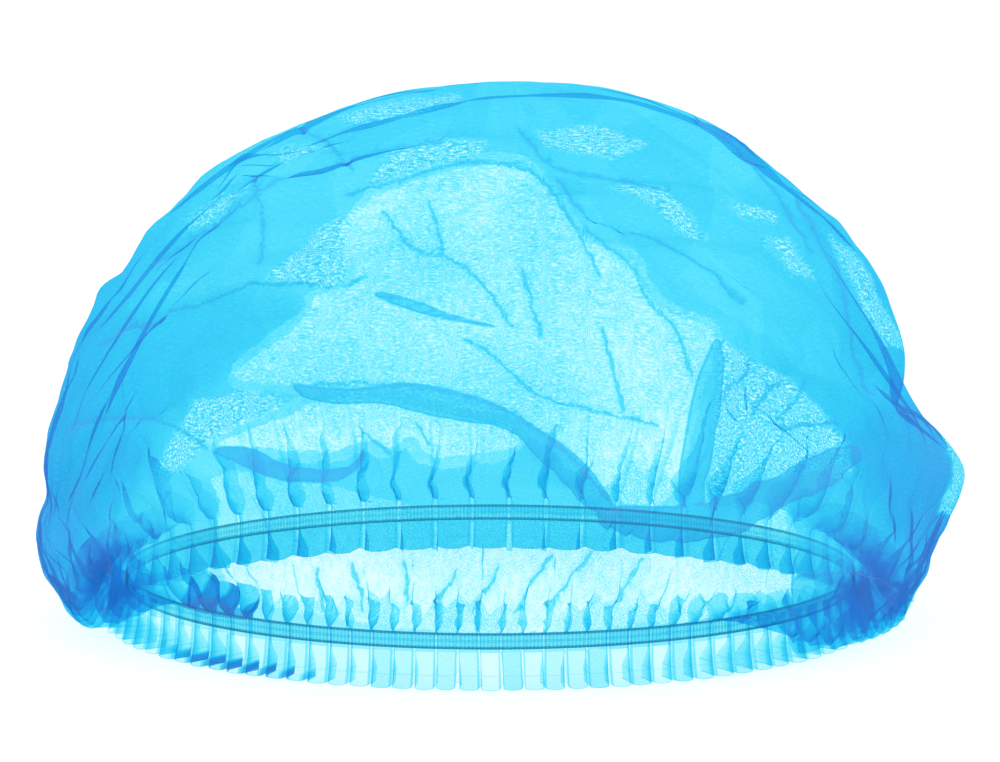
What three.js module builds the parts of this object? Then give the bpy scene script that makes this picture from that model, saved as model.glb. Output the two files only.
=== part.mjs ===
// A disposable bouffant cap of thin nonwoven cloth, standing open on its own hem.
// Millimetres, +Z up, the front of the cap towards -Y, the floor at Z = 0.
import * as THREE from 'three';

// Driving dimensions
const rimWidth = 212;         // across the elastic line, side to side
const rimDepth = 193;         // across the elastic line, front to back
const rimShift = -1.5;        // the elastic sits this far to the left of the crown's middle
const sideOverhang = 23.5;    // how far the crown stands out past the elastic at its two ends
const frontOverhang = 11;     // the same at the front and the back
const crownHeight = 151;      // floor to the top of the crown
const topShift = 6;           // the top of the crown lies this far to the right of the middle
const frillHeight = 10.1;     // hem to the lower edge of the elastic
const bandWidth = 4.5;        // the height of the elastic
const bandThickness = 1;
const clothWall = 1.2;        // the crown and the frill
const pleatDepth = 3;         // crest to trough at the elastic
const pleatReach = 120;       // the pleats have faded out this far above the elastic
const foldHeight = 4.4;       // how far a full fold stands out of the crown, or a crease sinks in
const foldWidth = 5.6;        // from the middle of a fold to where it has mostly died away
const foldCrispness = 1.5;    // 2 is a smooth swell, 1 a sharp ridge
const hemFlare = 1.2;         // how far the middle of the hem stands out past the elastic
const hemWave = 3.8;          // crest to trough of the frill at the hem
const tagLength = 11;         // the joined ends of the elastic, along the rim
const tagDrop = 8;            // and how far they hang below the elastic's top edge
const tagThickness = 1.1;
const clearance = 0.3;        // between cloth and elastic

// Counts
const pleatCount = 80;
const pleatBunching = 0.3;    // share by which the pleats stand closer at the front than at the back
const columns = 2 * pleatCount;

// Sizes that follow
const neckTop = frillHeight + bandWidth;
const halfWidth = rimWidth / 2 + sideOverhang;
const halfDepth = rimDepth / 2 + frontOverhang;

// Where the crown sags out over the ends of the rim. Around and spread are shares of a turn from +X.
const sags = [
  { name: 'right end', around: -0.022, spread: 0.118 },
  { name: 'left end', around: 0.5, spread: 0.102 },
];

// The gathered rows above the elastic. Out is a share of the overhang, up a share of the neck's height.
const gatherRows = [
  { leftOut: 0.16, rightOut: 0.12, sideUp: 1.14, frontOut: 0.12, frontUp: 1.32 },
  { leftOut: 0.30, rightOut: 0.23, sideUp: 0.68, frontOut: 0.34, frontUp: 1.66 },
  { leftOut: 0.40, rightOut: 0.33, sideUp: 0.23, frontOut: 0.58, frontUp: 2.02 },
  { leftOut: 0.67, rightOut: 0.51, sideUp: 0.60, frontOut: 0.80, frontUp: 2.42 },
  { leftOut: 0.92, rightOut: 0.74, sideUp: 1.50, frontOut: 0.95, frontUp: 2.95 },
];

// The dome above the gathers. Up is a share of the height from the gathers to the top,
// the rest are shares of the crown's half width and half depth.
const domeRows = [
  { up: 0.10, left: 0.980, right: 0.985, front: 1.000, back: 0.990 },
  { up: 0.20, left: 0.970, right: 0.974, front: 0.992, back: 0.980 },
  { up: 0.30, left: 0.946, right: 0.930, front: 0.968, back: 0.955 },
  { up: 0.40, left: 0.910, right: 0.888, front: 0.932, back: 0.920 },
  { up: 0.50, left: 0.856, right: 0.850, front: 0.882, back: 0.872 },
  { up: 0.60, left: 0.796, right: 0.806, front: 0.818, back: 0.810 },
  { up: 0.70, left: 0.728, right: 0.722, front: 0.738, back: 0.735 },
  { up: 0.79, left: 0.635, right: 0.628, front: 0.650, back: 0.652 },
  { up: 0.87, left: 0.490, right: 0.530, front: 0.540, back: 0.545 },
  { up: 0.93, left: 0.365, right: 0.425, front: 0.410, back: 0.415 },
  { up: 0.975, left: 0.210, right: 0.285, front: 0.260, back: 0.265 },
];
const halvedFrom = 7;         // row where the columns are halved, and again near the top
const quarteredFrom = 15;
const foldsAbove = 2;         // no fold reaches into the rows at the elastic

// The pleats merge in pairs as they climb, between these rows, and the merged ones stand a little higher.
const pairing = { from: 2, to: halvedFrom - 1, high: 1.3 };
const merging = { from: halvedFrom, to: halvedFrom + 4, high: 1.2 };
const pleatUnevenness = { share: 0.25, perColumn: 0.73, perRow: 0.4 };

// The frill, from the elastic down to the hem: its rings, and how it bells out towards the hem.
const frillLevels = [0, 0.45, 1];
const flareSteepness = 1.5;
const hemUnevenness = { share: 0.15, perColumn: 1.31 };

// The main folds: ridges where high is above 0, creases where it is below. Each runs through a few places,
// given by a share of a turn from +X and a row of the crown; wide and high are shares of the fold sizes.
const folds = [
  { name: 'brow', through: [[0.652, 14.3], [0.707, 15.3], [0.757, 15.3], [0.781, 13.6], [0.795, 12.3]],
    wide: 1.2, high: 1.3 },
  { name: 'brow end', through: [[0.795, 13.2], [0.811, 12.2], [0.826, 10.0]], wide: 1.0, high: 1.1 },
  { name: 'long crease', through: [[0.682, 13.8], [0.719, 13.0], [0.752, 11.3]], wide: 0.9, high: -1.1 },
  { name: 'window top', through: [[0.620, 11.8], [0.685, 12.2]], wide: 1.1, high: 1.2 },
  { name: 'window side', through: [[0.665, 11.8], [0.642, 10.0]], wide: 0.9, high: -1.0 },
  { name: 'tapered strip', through: [[0.681, 12.0], [0.753, 11.2]], wide: 0.9, high: 1.0 },
  { name: 'wide strip', through: [[0.672, 9.7], [0.716, 9.8], [0.756, 9.2], [0.793, 6.9]],
    wide: 1.2, high: 1.5 },
  { name: 'thin strip', through: [[0.735, 10.9], [0.770, 9.4], [0.808, 8.8]], wide: 0.8, high: 1.0 },
  { name: 'wedge', through: [[0.845, 11.2], [0.832, 9.0], [0.820, 6.9]], wide: 1.1, high: 1.5 },
  { name: 'fan', through: [[0.845, 9.3], [0.875, 10.2]], wide: 0.8, high: -1.0 },
  { name: 'shelf', through: [[0.639, 8.0], [0.697, 8.0]], wide: 1.1, high: -1.4 },
  { name: 'left flank', through: [[0.553, 14.5], [0.612, 13.6], [0.631, 12.5]], wide: 1.2, high: 1.2 },
  { name: 'left side', through: [[0.520, 11.5], [0.545, 8.0]], wide: 1.2, high: 1.1 },
  { name: 'right flank', through: [[0.022, 12.7], [0.988, 10.4]], wide: 1.1, high: 0.3 },
  { name: 'lobe notch', through: [[0.930, 10.6], [0.985, 9.2], [1.030, 9.0]], wide: 1.2, high: -1.5 },
  { name: 'lobe', through: [[0.945, 7.8], [0.990, 7.6], [1.015, 7.3]], wide: 1.4, high: 0.9 },
  { name: 'back brow', through: [[0.110, 13.6], [0.200, 14.8], [0.290, 14.2], [0.370, 12.2]],
    wide: 1.2, high: 1.3 },
  { name: 'back strip', through: [[0.140, 10.2], [0.220, 10.0], [0.300, 8.4]], wide: 1.2, high: 1.4 },
  { name: 'back crease', through: [[0.210, 12.6], [0.285, 11.4]], wide: 0.9, high: -1.1 },
  { name: 'back fall', through: [[0.380, 11.0], [0.400, 8.0]], wide: 1.1, high: 1.2 },
  { name: 'back shelf', through: [[0.110, 8.0], [0.190, 7.9]], wide: 1.1, high: -1.3 },
];

// Around the rim, column by column: the pleats are bunched towards the front.
function turnOf(column) {
  const even = 2 * Math.PI * column / columns;
  return even - pleatBunching * Math.cos(even);
}

// 1 at the crest of every pleat and -1 in its trough, once for every `span` columns.
function zigzag(column, span) {
  const place = ((column / span) % 1 + 1) % 1;
  return 4 * Math.abs(place - 0.5) - 1;
}

function sagAt(turn) {
  let share = 0;
  for (const sag of sags) {
    const apart = Math.abs(Math.atan2(Math.sin(turn - 2 * Math.PI * sag.around),
      Math.cos(turn - 2 * Math.PI * sag.around)));
    share = Math.max(share, Math.exp(-((apart / (2 * Math.PI * sag.spread)) ** 4)));
  }
  return share;
}

// A point on an oval about a middle, where the four sides have their own reach.
function ovalPoint(turn, middle, reach, height) {
  const x = Math.cos(turn) * (Math.cos(turn) < 0 ? reach.left : reach.right);
  const y = Math.sin(turn) * (Math.sin(turn) < 0 ? reach.front : reach.back);
  return new THREE.Vector3(middle + x, y, height);
}

function rimPoint(turn, out, height) {
  const wide = rimWidth / 2 + out;
  const deep = rimDepth / 2 + out;
  return ovalPoint(turn, rimShift, { left: wide, right: wide, front: deep, back: deep }, height);
}

function gatherPoint(turn, row) {
  const sag = sagAt(turn);
  const sideways = Math.abs(Math.cos(turn));
  const overhang = frontOverhang + (sideOverhang - frontOverhang) * Math.max(sag, sideways ** 2);
  const sideOut = Math.cos(turn) < 0 ? row.leftOut : row.rightOut;
  const share = THREE.MathUtils.lerp(row.frontOut, sideOut, sag);
  const up = THREE.MathUtils.lerp(row.frontUp, row.sideUp, sag) * neckTop;
  const point = rimPoint(turn, share * overhang, up);
  point.x -= rimShift * share;
  return point;
}

function domePoint(turn, row) {
  const shoulder = gatherPoint(turn, gatherRows[gatherRows.length - 1]).z;
  const height = THREE.MathUtils.lerp(shoulder, crownHeight, row.up);
  return ovalPoint(turn, topShift * row.up ** 2, {
    left: row.left * halfWidth + topShift * row.up ** 2,
    right: row.right * halfWidth - topShift * row.up ** 2,
    front: row.front * halfDepth,
    back: row.back * halfDepth,
  }, height);
}

// The smooth crown without its pleats and folds, row by row from the elastic's lower edge.
function smoothRows() {
  const makers = [
    (turn) => rimPoint(turn, 0, frillHeight),
    (turn) => rimPoint(turn, 0, neckTop),
    ...gatherRows.map((row) => (turn) => gatherPoint(turn, row)),
    ...domeRows.map((row) => (turn) => domePoint(turn, row)),
  ];
  return makers.map((make) => {
    const ring = [];
    for (let column = 0; column < columns; column += 1) ring.push(make(turnOf(column)));
    return ring;
  });
}

function outwardAt(rows, row, column) {
  const ring = rows[row];
  const along = ring[(column + 2) % columns].clone().sub(ring[(column + columns - 2) % columns]);
  const above = rows[Math.min(row + 1, rows.length - 1)][column];
  const below = rows[Math.max(row - 1, 0)][column];
  return along.cross(above.clone().sub(below)).normalize();
}

// A place on the crown given by a share of a turn and a row that need not be whole.
function placeOn(rows, around, up) {
  const column = columns * (around + pleatBunching * Math.cos(2 * Math.PI * around) / (2 * Math.PI));
  const near = ((Math.round(column) % columns) + columns) % columns;
  const low = Math.min(Math.floor(up), rows.length - 2);
  return rows[low][near].clone().lerp(rows[low + 1][near], up - low);
}

function foldLines(rows) {
  return folds.map((fold) => {
    const places = fold.through.map(([around, up]) => placeOn(rows, around, up));
    const lines = places.slice(1).map((place, i) => new THREE.Line3(places[i], place));
    return { lines, wide: fold.wide * foldWidth, high: fold.high * foldHeight };
  });
}

function foldLift(point, lifts) {
  const nearest = new THREE.Vector3();
  let lift = 0;
  for (const fold of lifts) {
    let apart = Infinity;
    for (const line of fold.lines) {
      line.closestPointToPoint(point, true, nearest);
      apart = Math.min(apart, nearest.distanceTo(point));
    }
    lift += fold.high * Math.exp(-((apart / fold.wide) ** foldCrispness));
  }
  return lift;
}

// A height that varies a little from pleat to pleat, up to 1.
function unevenAt(unevenness, phase) {
  return 1 - unevenness.share + unevenness.share * Math.sin(phase);
}

// Pleats merge in pairs twice as they climb, and fade out at pleatReach above the elastic.
function pleatLift(row, column, climbed) {
  const fade = Math.max(0, 1 - climbed / pleatReach);
  const paired = THREE.MathUtils.smoothstep(row, pairing.from, pairing.to);
  const merged = THREE.MathUtils.smoothstep(row, merging.from, merging.to);
  const phase = column * pleatUnevenness.perColumn + row * pleatUnevenness.perRow;
  const fine = (1 - paired) * zigzag(column, 2) + pairing.high * paired * zigzag(column, 4);
  const wave = (1 - merged) * fine + merging.high * merged * zigzag(column + row, 8);
  return 0.5 * pleatDepth * wave * fade * unevenAt(pleatUnevenness, phase);
}

// A closed skin between an outer and an inner sheet that share one set of rings.
class Skin {
  constructor() {
    this.positions = [];
    this.indices = [];
  }

  addRing(points) {
    const first = this.positions.length / 3;
    for (const point of points) this.positions.push(point.x, point.y, point.z);
    return { first, count: points.length };
  }

  // Faces between two rings; the upper one may have half the points of the lower one.
  join(lower, upper, outward) {
    const step = lower.count / upper.count;
    for (let i = 0; i < upper.count; i += 1) {
      const next = (i + 1) % upper.count;
      const a = lower.first + i * step;
      const b = lower.first + (next * step);
      const c = upper.first + next;
      const d = upper.first + i;
      if (step === 1) {
        this.face(a, b, c, outward);
        this.face(a, c, d, outward);
      } else {
        const middle = a + 1;
        this.face(a, middle, d, outward);
        this.face(middle, c, d, outward);
        this.face(middle, b, c, outward);
      }
    }
  }

  closeTop(ring, tip, outward) {
    const centre = this.addRing([tip]).first;
    for (let i = 0; i < ring.count; i += 1) {
      this.face(ring.first + i, ring.first + (i + 1) % ring.count, centre, outward);
    }
  }

  face(a, b, c, outward) {
    if (outward) this.indices.push(a, b, c);
    else this.indices.push(a, c, b);
  }

  geometry() {
    const made = new THREE.BufferGeometry();
    made.setAttribute('position', new THREE.Float32BufferAttribute(this.positions, 3));
    made.setIndex(this.indices);
    made.computeVertexNormals();
    return made;
  }
}

function crownGeometry() {
  const rows = smoothRows();
  const lines = foldLines(rows);
  const skin = new Skin();
  const outer = [];
  const inner = [];
  rows.forEach((ring, row) => {
    const step = row < halvedFrom ? 1 : row < quarteredFrom ? 2 : 4;
    const outerRing = [];
    const innerRing = [];
    for (let column = 0; column < columns; column += step) {
      const outward = outwardAt(rows, row, column);
      const climbed = Math.max(0, ring[column].z - neckTop);
      const folded = row > foldsAbove ? foldLift(ring[column], lines) : 0;
      const lift = pleatLift(row, column, climbed) + folded;
      outerRing.push(ring[column].clone().addScaledVector(outward, lift));
      innerRing.push(ring[column].clone().addScaledVector(outward, lift - clothWall));
    }
    outer.push(skin.addRing(outerRing));
    inner.push(skin.addRing(innerRing));
  });
  for (let row = 0; row + 1 < rows.length; row += 1) {
    skin.join(outer[row], outer[row + 1], true);
    skin.join(inner[row], inner[row + 1], false);
  }
  const top = new THREE.Vector3(topShift, 0, crownHeight);
  skin.closeTop(outer[rows.length - 1], top, true);
  skin.closeTop(inner[rows.length - 1], top.clone().setZ(crownHeight - clothWall), false);
  skin.join(inner[0], outer[0], true);
  return skin.geometry();
}

// The frill hangs from just under the elastic and widens into waves. Its hem is flat on the floor.
function frillGeometry() {
  const skin = new Skin();
  const outer = [];
  const inner = [];
  for (const level of frillLevels) {
    const height = (frillHeight - clearance) * (1 - level);
    const depth = THREE.MathUtils.lerp(pleatDepth, hemWave, level);
    const outerRing = [];
    const innerRing = [];
    for (let column = 0; column < columns; column += 1) {
      const wave = zigzag(column, 2) * unevenAt(hemUnevenness, column * hemUnevenness.perColumn);
      const out = hemFlare * level ** flareSteepness + 0.5 * depth * wave;
      outerRing.push(rimPoint(turnOf(column), out, height));
      innerRing.push(rimPoint(turnOf(column), out - clothWall, height));
    }
    outer.push(skin.addRing(outerRing));
    inner.push(skin.addRing(innerRing));
  }
  for (let i = 0; i + 1 < frillLevels.length; i += 1) {
    skin.join(outer[i], outer[i + 1], false);
    skin.join(inner[i], inner[i + 1], true);
  }
  skin.join(outer[0], inner[0], true);
  skin.join(outer[frillLevels.length - 1], inner[frillLevels.length - 1], false);
  return skin.geometry();
}

// The elastic lies inside the gathered neck of the crown.
const bandOut = -(0.5 * pleatDepth + clothWall + clearance);

function bandGeometry() {
  const skin = new Skin();
  const ringAt = (out, height) => {
    const points = [];
    for (let column = 0; column < columns; column += 2) points.push(rimPoint(turnOf(column), out, height));
    return skin.addRing(points);
  };
  const outerLow = ringAt(bandOut, frillHeight);
  const outerHigh = ringAt(bandOut, neckTop);
  const innerLow = ringAt(bandOut - bandThickness, frillHeight);
  const innerHigh = ringAt(bandOut - bandThickness, neckTop);
  skin.join(outerLow, outerHigh, true);
  skin.join(innerLow, innerHigh, false);
  skin.join(outerHigh, innerHigh, true);
  skin.join(innerLow, outerLow, true);
  return skin.geometry();
}

// The two ends of the elastic, lapped and hanging inside the left end of the rim.
function tagMesh(material) {
  const shape = new THREE.BoxGeometry(tagThickness, tagLength, tagDrop);
  const mesh = new THREE.Mesh(shape, material);
  const inside = bandOut - bandThickness - clearance - 0.5 * tagThickness;
  const bow = (rimWidth / 2) * (1 - Math.cos(Math.asin(tagLength / rimDepth)));
  mesh.position.copy(rimPoint(Math.PI, inside - bow, neckTop - 0.5 * tagDrop));
  return mesh;
}

const cloth = new THREE.MeshStandardMaterial({ color: 0x59cdf3, roughness: 0.85, metalness: 0 });
const frillCloth = new THREE.MeshStandardMaterial({ color: 0x8fe9f3, roughness: 0.85, metalness: 0 });
const elastic = new THREE.MeshStandardMaterial({ color: 0x44b4d8, roughness: 0.7, metalness: 0 });

const cap = new THREE.Group();
const pieces = {
  crown: new THREE.Mesh(crownGeometry(), cloth),
  ruffle: new THREE.Mesh(frillGeometry(), frillCloth),
  elastic_band: new THREE.Mesh(bandGeometry(), elastic),
  elastic_joint: tagMesh(elastic),
};
for (const [name, mesh] of Object.entries(pieces)) {
  mesh.name = name;
  cap.add(mesh);
}

// The origin is the middle of the box round the cap, on the floor.
const box = new THREE.Box3().setFromObject(cap);
cap.position.set(-(box.min.x + box.max.x) / 2, -(box.min.y + box.max.y) / 2, -box.min.z);

export default cap;
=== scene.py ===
import math

import bmesh
import bpy
import numpy as np
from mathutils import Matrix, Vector


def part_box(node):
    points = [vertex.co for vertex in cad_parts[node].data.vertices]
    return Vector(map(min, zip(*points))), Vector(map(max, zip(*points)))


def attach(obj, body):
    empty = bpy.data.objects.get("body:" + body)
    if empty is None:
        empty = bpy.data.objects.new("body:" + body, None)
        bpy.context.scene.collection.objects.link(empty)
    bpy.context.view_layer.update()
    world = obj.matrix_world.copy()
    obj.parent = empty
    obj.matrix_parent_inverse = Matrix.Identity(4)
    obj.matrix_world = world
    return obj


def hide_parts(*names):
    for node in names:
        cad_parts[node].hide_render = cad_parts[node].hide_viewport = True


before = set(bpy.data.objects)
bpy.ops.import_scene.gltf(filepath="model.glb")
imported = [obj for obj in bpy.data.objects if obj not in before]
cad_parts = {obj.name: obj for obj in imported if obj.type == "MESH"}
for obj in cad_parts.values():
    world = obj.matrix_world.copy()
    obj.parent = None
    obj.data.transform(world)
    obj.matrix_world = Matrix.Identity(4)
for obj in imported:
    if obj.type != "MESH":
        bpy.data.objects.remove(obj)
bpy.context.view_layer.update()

# Sizes taken off the frame, in metres
bandLow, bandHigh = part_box("elastic_band")
crownLow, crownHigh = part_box("crown")
tagLow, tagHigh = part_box("elastic_joint")
rimMiddle = (bandLow + bandHigh) / 2
frillTop = bandLow.z
neckTop = bandHigh.z
crownTop = crownHigh.z
print("cap: frame loaded, elastic from", round(frillTop, 4), "to", round(neckTop, 4))

capShape = {
    "clothToElastic": 0.0030,   # middle of the cloth to the outside of the elastic
    "sideOverhang": 0.0235,
    "frontOverhang": 0.011,
    "crownShift": 0.0015,       # the crown's middle lies this far to the right of the rim's
    "topShift": 0.006,
    "pleats": 80,
    "bunching": 0.3,            # how much closer the pleats stand at the front
    "foldHeight": 0.0044,
    "foldWidth": 0.0056,
    "foldCrispness": 1.5,
}
rimWide = (bandHigh.x - bandLow.x) / 2 + capShape["clothToElastic"]
rimDeep = (bandHigh.y - bandLow.y) / 2 + capShape["clothToElastic"]
halfWide = rimWide + capShape["sideOverhang"]
halfDeep = rimDeep + capShape["frontOverhang"]

# Where the crown sags out over the ends of the rim, in shares of a turn from +X
sags = [
    {"around": -0.028, "spread": 0.124},
    {"around": 0.5, "spread": 0.102},
]

# The gathered rows above the elastic: out in shares of the overhang, up in shares of the neck's height
gatherRows = [
    {"leftOut": 0.16, "rightOut": 0.12, "sideUp": 1.14, "frontOut": 0.12, "frontUp": 1.32},
    {"leftOut": 0.30, "rightOut": 0.23, "sideUp": 0.68, "frontOut": 0.34, "frontUp": 1.66},
    {"leftOut": 0.40, "rightOut": 0.33, "sideUp": 0.23, "frontOut": 0.58, "frontUp": 2.02},
    {"leftOut": 0.67, "rightOut": 0.51, "sideUp": 0.60, "frontOut": 0.80, "frontUp": 2.42},
    {"leftOut": 0.92, "rightOut": 0.74, "sideUp": 1.50, "frontOut": 0.95, "frontUp": 2.95},
]

# The dome above them: up in shares of the height left, the rest in shares of the half width and depth
domeRows = [
    {"up": 0.10, "left": 0.980, "right": 0.985, "front": 1.000, "back": 0.990},
    {"up": 0.20, "left": 0.970, "right": 0.974, "front": 0.992, "back": 0.980},
    {"up": 0.30, "left": 0.946, "right": 0.930, "front": 0.968, "back": 0.955},
    {"up": 0.40, "left": 0.910, "right": 0.888, "front": 0.932, "back": 0.920},
    {"up": 0.50, "left": 0.856, "right": 0.850, "front": 0.882, "back": 0.872},
    {"up": 0.60, "left": 0.796, "right": 0.806, "front": 0.818, "back": 0.810},
    {"up": 0.70, "left": 0.728, "right": 0.722, "front": 0.738, "back": 0.735},
    {"up": 0.79, "left": 0.635, "right": 0.628, "front": 0.650, "back": 0.652},
    {"up": 0.87, "left": 0.490, "right": 0.530, "front": 0.540, "back": 0.545},
    {"up": 0.93, "left": 0.365, "right": 0.425, "front": 0.410, "back": 0.415},
    {"up": 0.975, "left": 0.210, "right": 0.285, "front": 0.260, "back": 0.265},
]

# The main folds: each runs through a few places, a share of a turn and a row of the tables above.
# Wide and high are shares of the fold sizes, and a crease has a high below 0.
folds = [
    {"name": "brow", "through": [(0.652, 14.3), (0.707, 15.3), (0.757, 15.3), (0.781, 13.6), (0.795, 12.3)],
     "wide": 1.2, "high": 1.3},
    {"name": "browEnd", "through": [(0.795, 13.2), (0.811, 12.2), (0.826, 10.0)], "wide": 1.0, "high": 1.1},
    {"name": "longCrease", "through": [(0.682, 13.8), (0.719, 13.0), (0.752, 11.3)],
     "wide": 0.9, "high": -1.1},
    {"name": "windowTop", "through": [(0.620, 11.8), (0.685, 12.2)], "wide": 1.1, "high": 1.2},
    {"name": "windowSide", "through": [(0.665, 11.8), (0.642, 10.0)], "wide": 0.9, "high": -1.0},
    {"name": "taperedStrip", "through": [(0.681, 12.0), (0.753, 11.2)], "wide": 0.9, "high": 1.0},
    {"name": "wideStrip", "through": [(0.672, 9.7), (0.716, 9.8), (0.756, 9.2), (0.793, 6.9)],
     "wide": 1.2, "high": 1.5},
    {"name": "thinStrip", "through": [(0.735, 10.9), (0.770, 9.4), (0.808, 8.8)], "wide": 0.8, "high": 1.0},
    {"name": "wedge", "through": [(0.845, 11.2), (0.832, 9.0), (0.820, 6.9)], "wide": 1.1, "high": 1.5},
    {"name": "fan", "through": [(0.845, 9.3), (0.875, 10.2)], "wide": 0.8, "high": -1.0},
    {"name": "shelf", "through": [(0.639, 8.0), (0.697, 8.0)], "wide": 1.1, "high": -1.4},
    {"name": "leftFlank", "through": [(0.553, 14.5), (0.612, 13.6), (0.631, 12.5)], "wide": 1.2, "high": 1.2},
    {"name": "leftSide", "through": [(0.520, 11.5), (0.545, 8.0)], "wide": 1.2, "high": 1.1},
    {"name": "rightFlank", "through": [(0.022, 12.7), (0.988, 10.4)], "wide": 1.1, "high": 0.3},
    {"name": "lobeNotch", "through": [(0.930, 10.6), (0.985, 9.2), (1.030, 9.0)], "wide": 1.2, "high": -1.5},
    {"name": "lobe", "through": [(0.945, 7.8), (0.990, 7.6), (1.015, 7.3)], "wide": 1.4, "high": 0.9},
    {"name": "backBrow", "through": [(0.110, 13.6), (0.200, 14.8), (0.290, 14.2), (0.370, 12.2)],
     "wide": 1.2, "high": 1.3},
    {"name": "backStrip", "through": [(0.140, 10.2), (0.220, 10.0), (0.300, 8.4)], "wide": 1.2, "high": 1.4},
    {"name": "backCrease", "through": [(0.210, 12.6), (0.285, 11.4)], "wide": 0.9, "high": -1.1},
    {"name": "backFall", "through": [(0.380, 11.0), (0.400, 8.0)], "wide": 1.1, "high": 1.2},
    {"name": "backShelf", "through": [(0.110, 8.0), (0.190, 7.9)], "wide": 1.1, "high": -1.3},
]

# The view that the places below were read in, which is also the camera's
view = {
    "elevation": 10.0,
    "aimHeight": 0.068,
    "distance": 2.4,
    "lens": 308.0,
    "sensor": 36.0,
    "pixelsWide": 1000,
    "pixelsHigh": 762,
}


# Points of the frame as places in that view
def photoPlace(points):
    tilt = math.radians(view["elevation"])
    back = np.array([0, -math.cos(tilt), math.sin(tilt)])
    up = np.array([0, math.sin(tilt), math.cos(tilt)])
    fromAim = points - np.array([0, 0, view["aimHeight"]])
    scale = view["lens"] / view["sensor"] * view["pixelsWide"] / (view["distance"] - fromAim @ back)
    across = view["pixelsWide"] / 2 + fromAim[..., 0] * scale
    down = view["pixelsHigh"] / 2 - (fromAim @ up) * scale
    return np.stack([across, down], -1)


def smoothStep(low, high, value):
    share = np.clip((value - low) / (high - low), 0, 1)
    return share * share * (3 - 2 * share)


# How far the crown sags out at each turn, from 0 to 1
def sagAt(turn):
    share = np.zeros_like(turn)
    for sag in sags:
        away = turn - 2 * math.pi * sag["around"]
        away = np.abs(np.arctan2(np.sin(away), np.cos(away)))
        share = np.maximum(share, np.exp(-(away / (2 * math.pi * sag["spread"])) ** 4))
    return share


def ovalPoint(turn, middle, left, right, front, back, height):
    x = middle + np.cos(turn) * np.where(np.cos(turn) < 0, left, right)
    y = rimMiddle.y + np.sin(turn) * np.where(np.sin(turn) < 0, front, back)
    return np.stack([x, y, height + 0 * turn], -1)


def rimPoint(turn, out, height):
    wide, deep = rimWide + out, rimDeep + out
    return ovalPoint(turn, rimMiddle.x, wide, wide, deep, deep, height)


def gatherPoint(turn, row):
    sag = sagAt(turn)
    sideways = np.cos(turn) ** 2
    spare = capShape["sideOverhang"] - capShape["frontOverhang"]
    overhang = capShape["frontOverhang"] + spare * np.maximum(sag, sideways)
    sideOut = np.where(np.cos(turn) < 0, row["leftOut"], row["rightOut"])
    share = row["frontOut"] + (sideOut - row["frontOut"]) * sag
    up = (row["frontUp"] + (row["sideUp"] - row["frontUp"]) * sag) * neckTop
    point = rimPoint(turn, share * overhang, up)
    point[..., 0] += capShape["crownShift"] * share
    return point


def domePoint(turn, row):
    shoulder = gatherPoint(turn, gatherRows[-1])[..., 2]
    height = shoulder + (crownTop - shoulder) * row["up"]
    shift = capShape["topShift"] * row["up"] ** 2
    middle = rimMiddle.x + capShape["crownShift"] + shift
    return ovalPoint(turn, middle, row["left"] * halfWide + shift, row["right"] * halfWide - shift,
                     row["front"] * halfDeep, row["back"] * halfDeep, height)


# The rows of the tables for the given turns, from the elastic's lower edge to the top
def keyRows(turn):
    rows = [rimPoint(turn, 0 * turn, frillTop), rimPoint(turn, 0 * turn, neckTop)]
    rows += [gatherPoint(turn, row) for row in gatherRows]
    rows += [domePoint(turn, row) for row in domeRows]
    top = np.zeros_like(rows[0])
    top[..., 0] = rimMiddle.x + capShape["crownShift"] + capShape["topShift"]
    top[..., 1] = rimMiddle.y
    top[..., 2] = crownTop
    return np.stack(rows + [top])


def turnOf(share):
    even = 2 * math.pi * share
    return even - capShape["bunching"] * np.cos(even)


# A smooth curve through the key rows, cut into rows that are the same way apart along each column
def smoothCrown(turn, rowCount, endShare, finePerRow=14):
    keys = keyRows(turn)
    over = np.roll(keys[-2], len(turn) // 2, axis=0)
    keys = np.concatenate([2 * keys[:1] - keys[1:2], keys, over[None]])
    pieces = []
    for k in range(1, len(keys) - 2):
        a, b, c, d = keys[k - 1:k + 3]
        for step in range(finePerRow):
            t = step / finePerRow
            pieces.append(0.5 * (2 * b + (c - a) * t + (2 * a - 5 * b + 4 * c - d) * t ** 2
                                 + (3 * b - a - 3 * c + d) * t ** 3))
    pieces.append(keys[-2])
    fine = np.stack(pieces)
    gone = np.linalg.norm(np.diff(fine, axis=0), axis=2)
    gone = np.concatenate([np.zeros((1, gone.shape[1])), np.cumsum(gone, axis=0)])
    shares = np.linspace(0, endShare, rowCount)
    made = np.empty((rowCount, len(turn), 3))
    for column in range(len(turn)):
        along = shares * gone[-1, column]
        for axis in range(3):
            made[:, column, axis] = np.interp(along, gone[:, column], fine[:, column, axis])
    return made


# Outward directions of a grid that closes on itself across its columns
def outwardOf(grid):
    along = np.roll(grid, -1, axis=1) - np.roll(grid, 1, axis=1)
    up = np.gradient(grid, axis=0)
    out = np.cross(along, up)
    return out / np.maximum(np.linalg.norm(out, axis=2, keepdims=True), 1e-12)


# Distance from each point to a line through a few places
def distanceToLine(points, places):
    nearest = np.full(points.shape[:-1], 1e9)
    for a, b in zip(places[:-1], places[1:]):
        way = b - a
        share = np.clip((points - a) @ way / max(way @ way, 1e-12), 0, 1)
        nearest = np.minimum(nearest, np.linalg.norm(points - a - share[..., None] * way, axis=-1))
    return nearest


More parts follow.
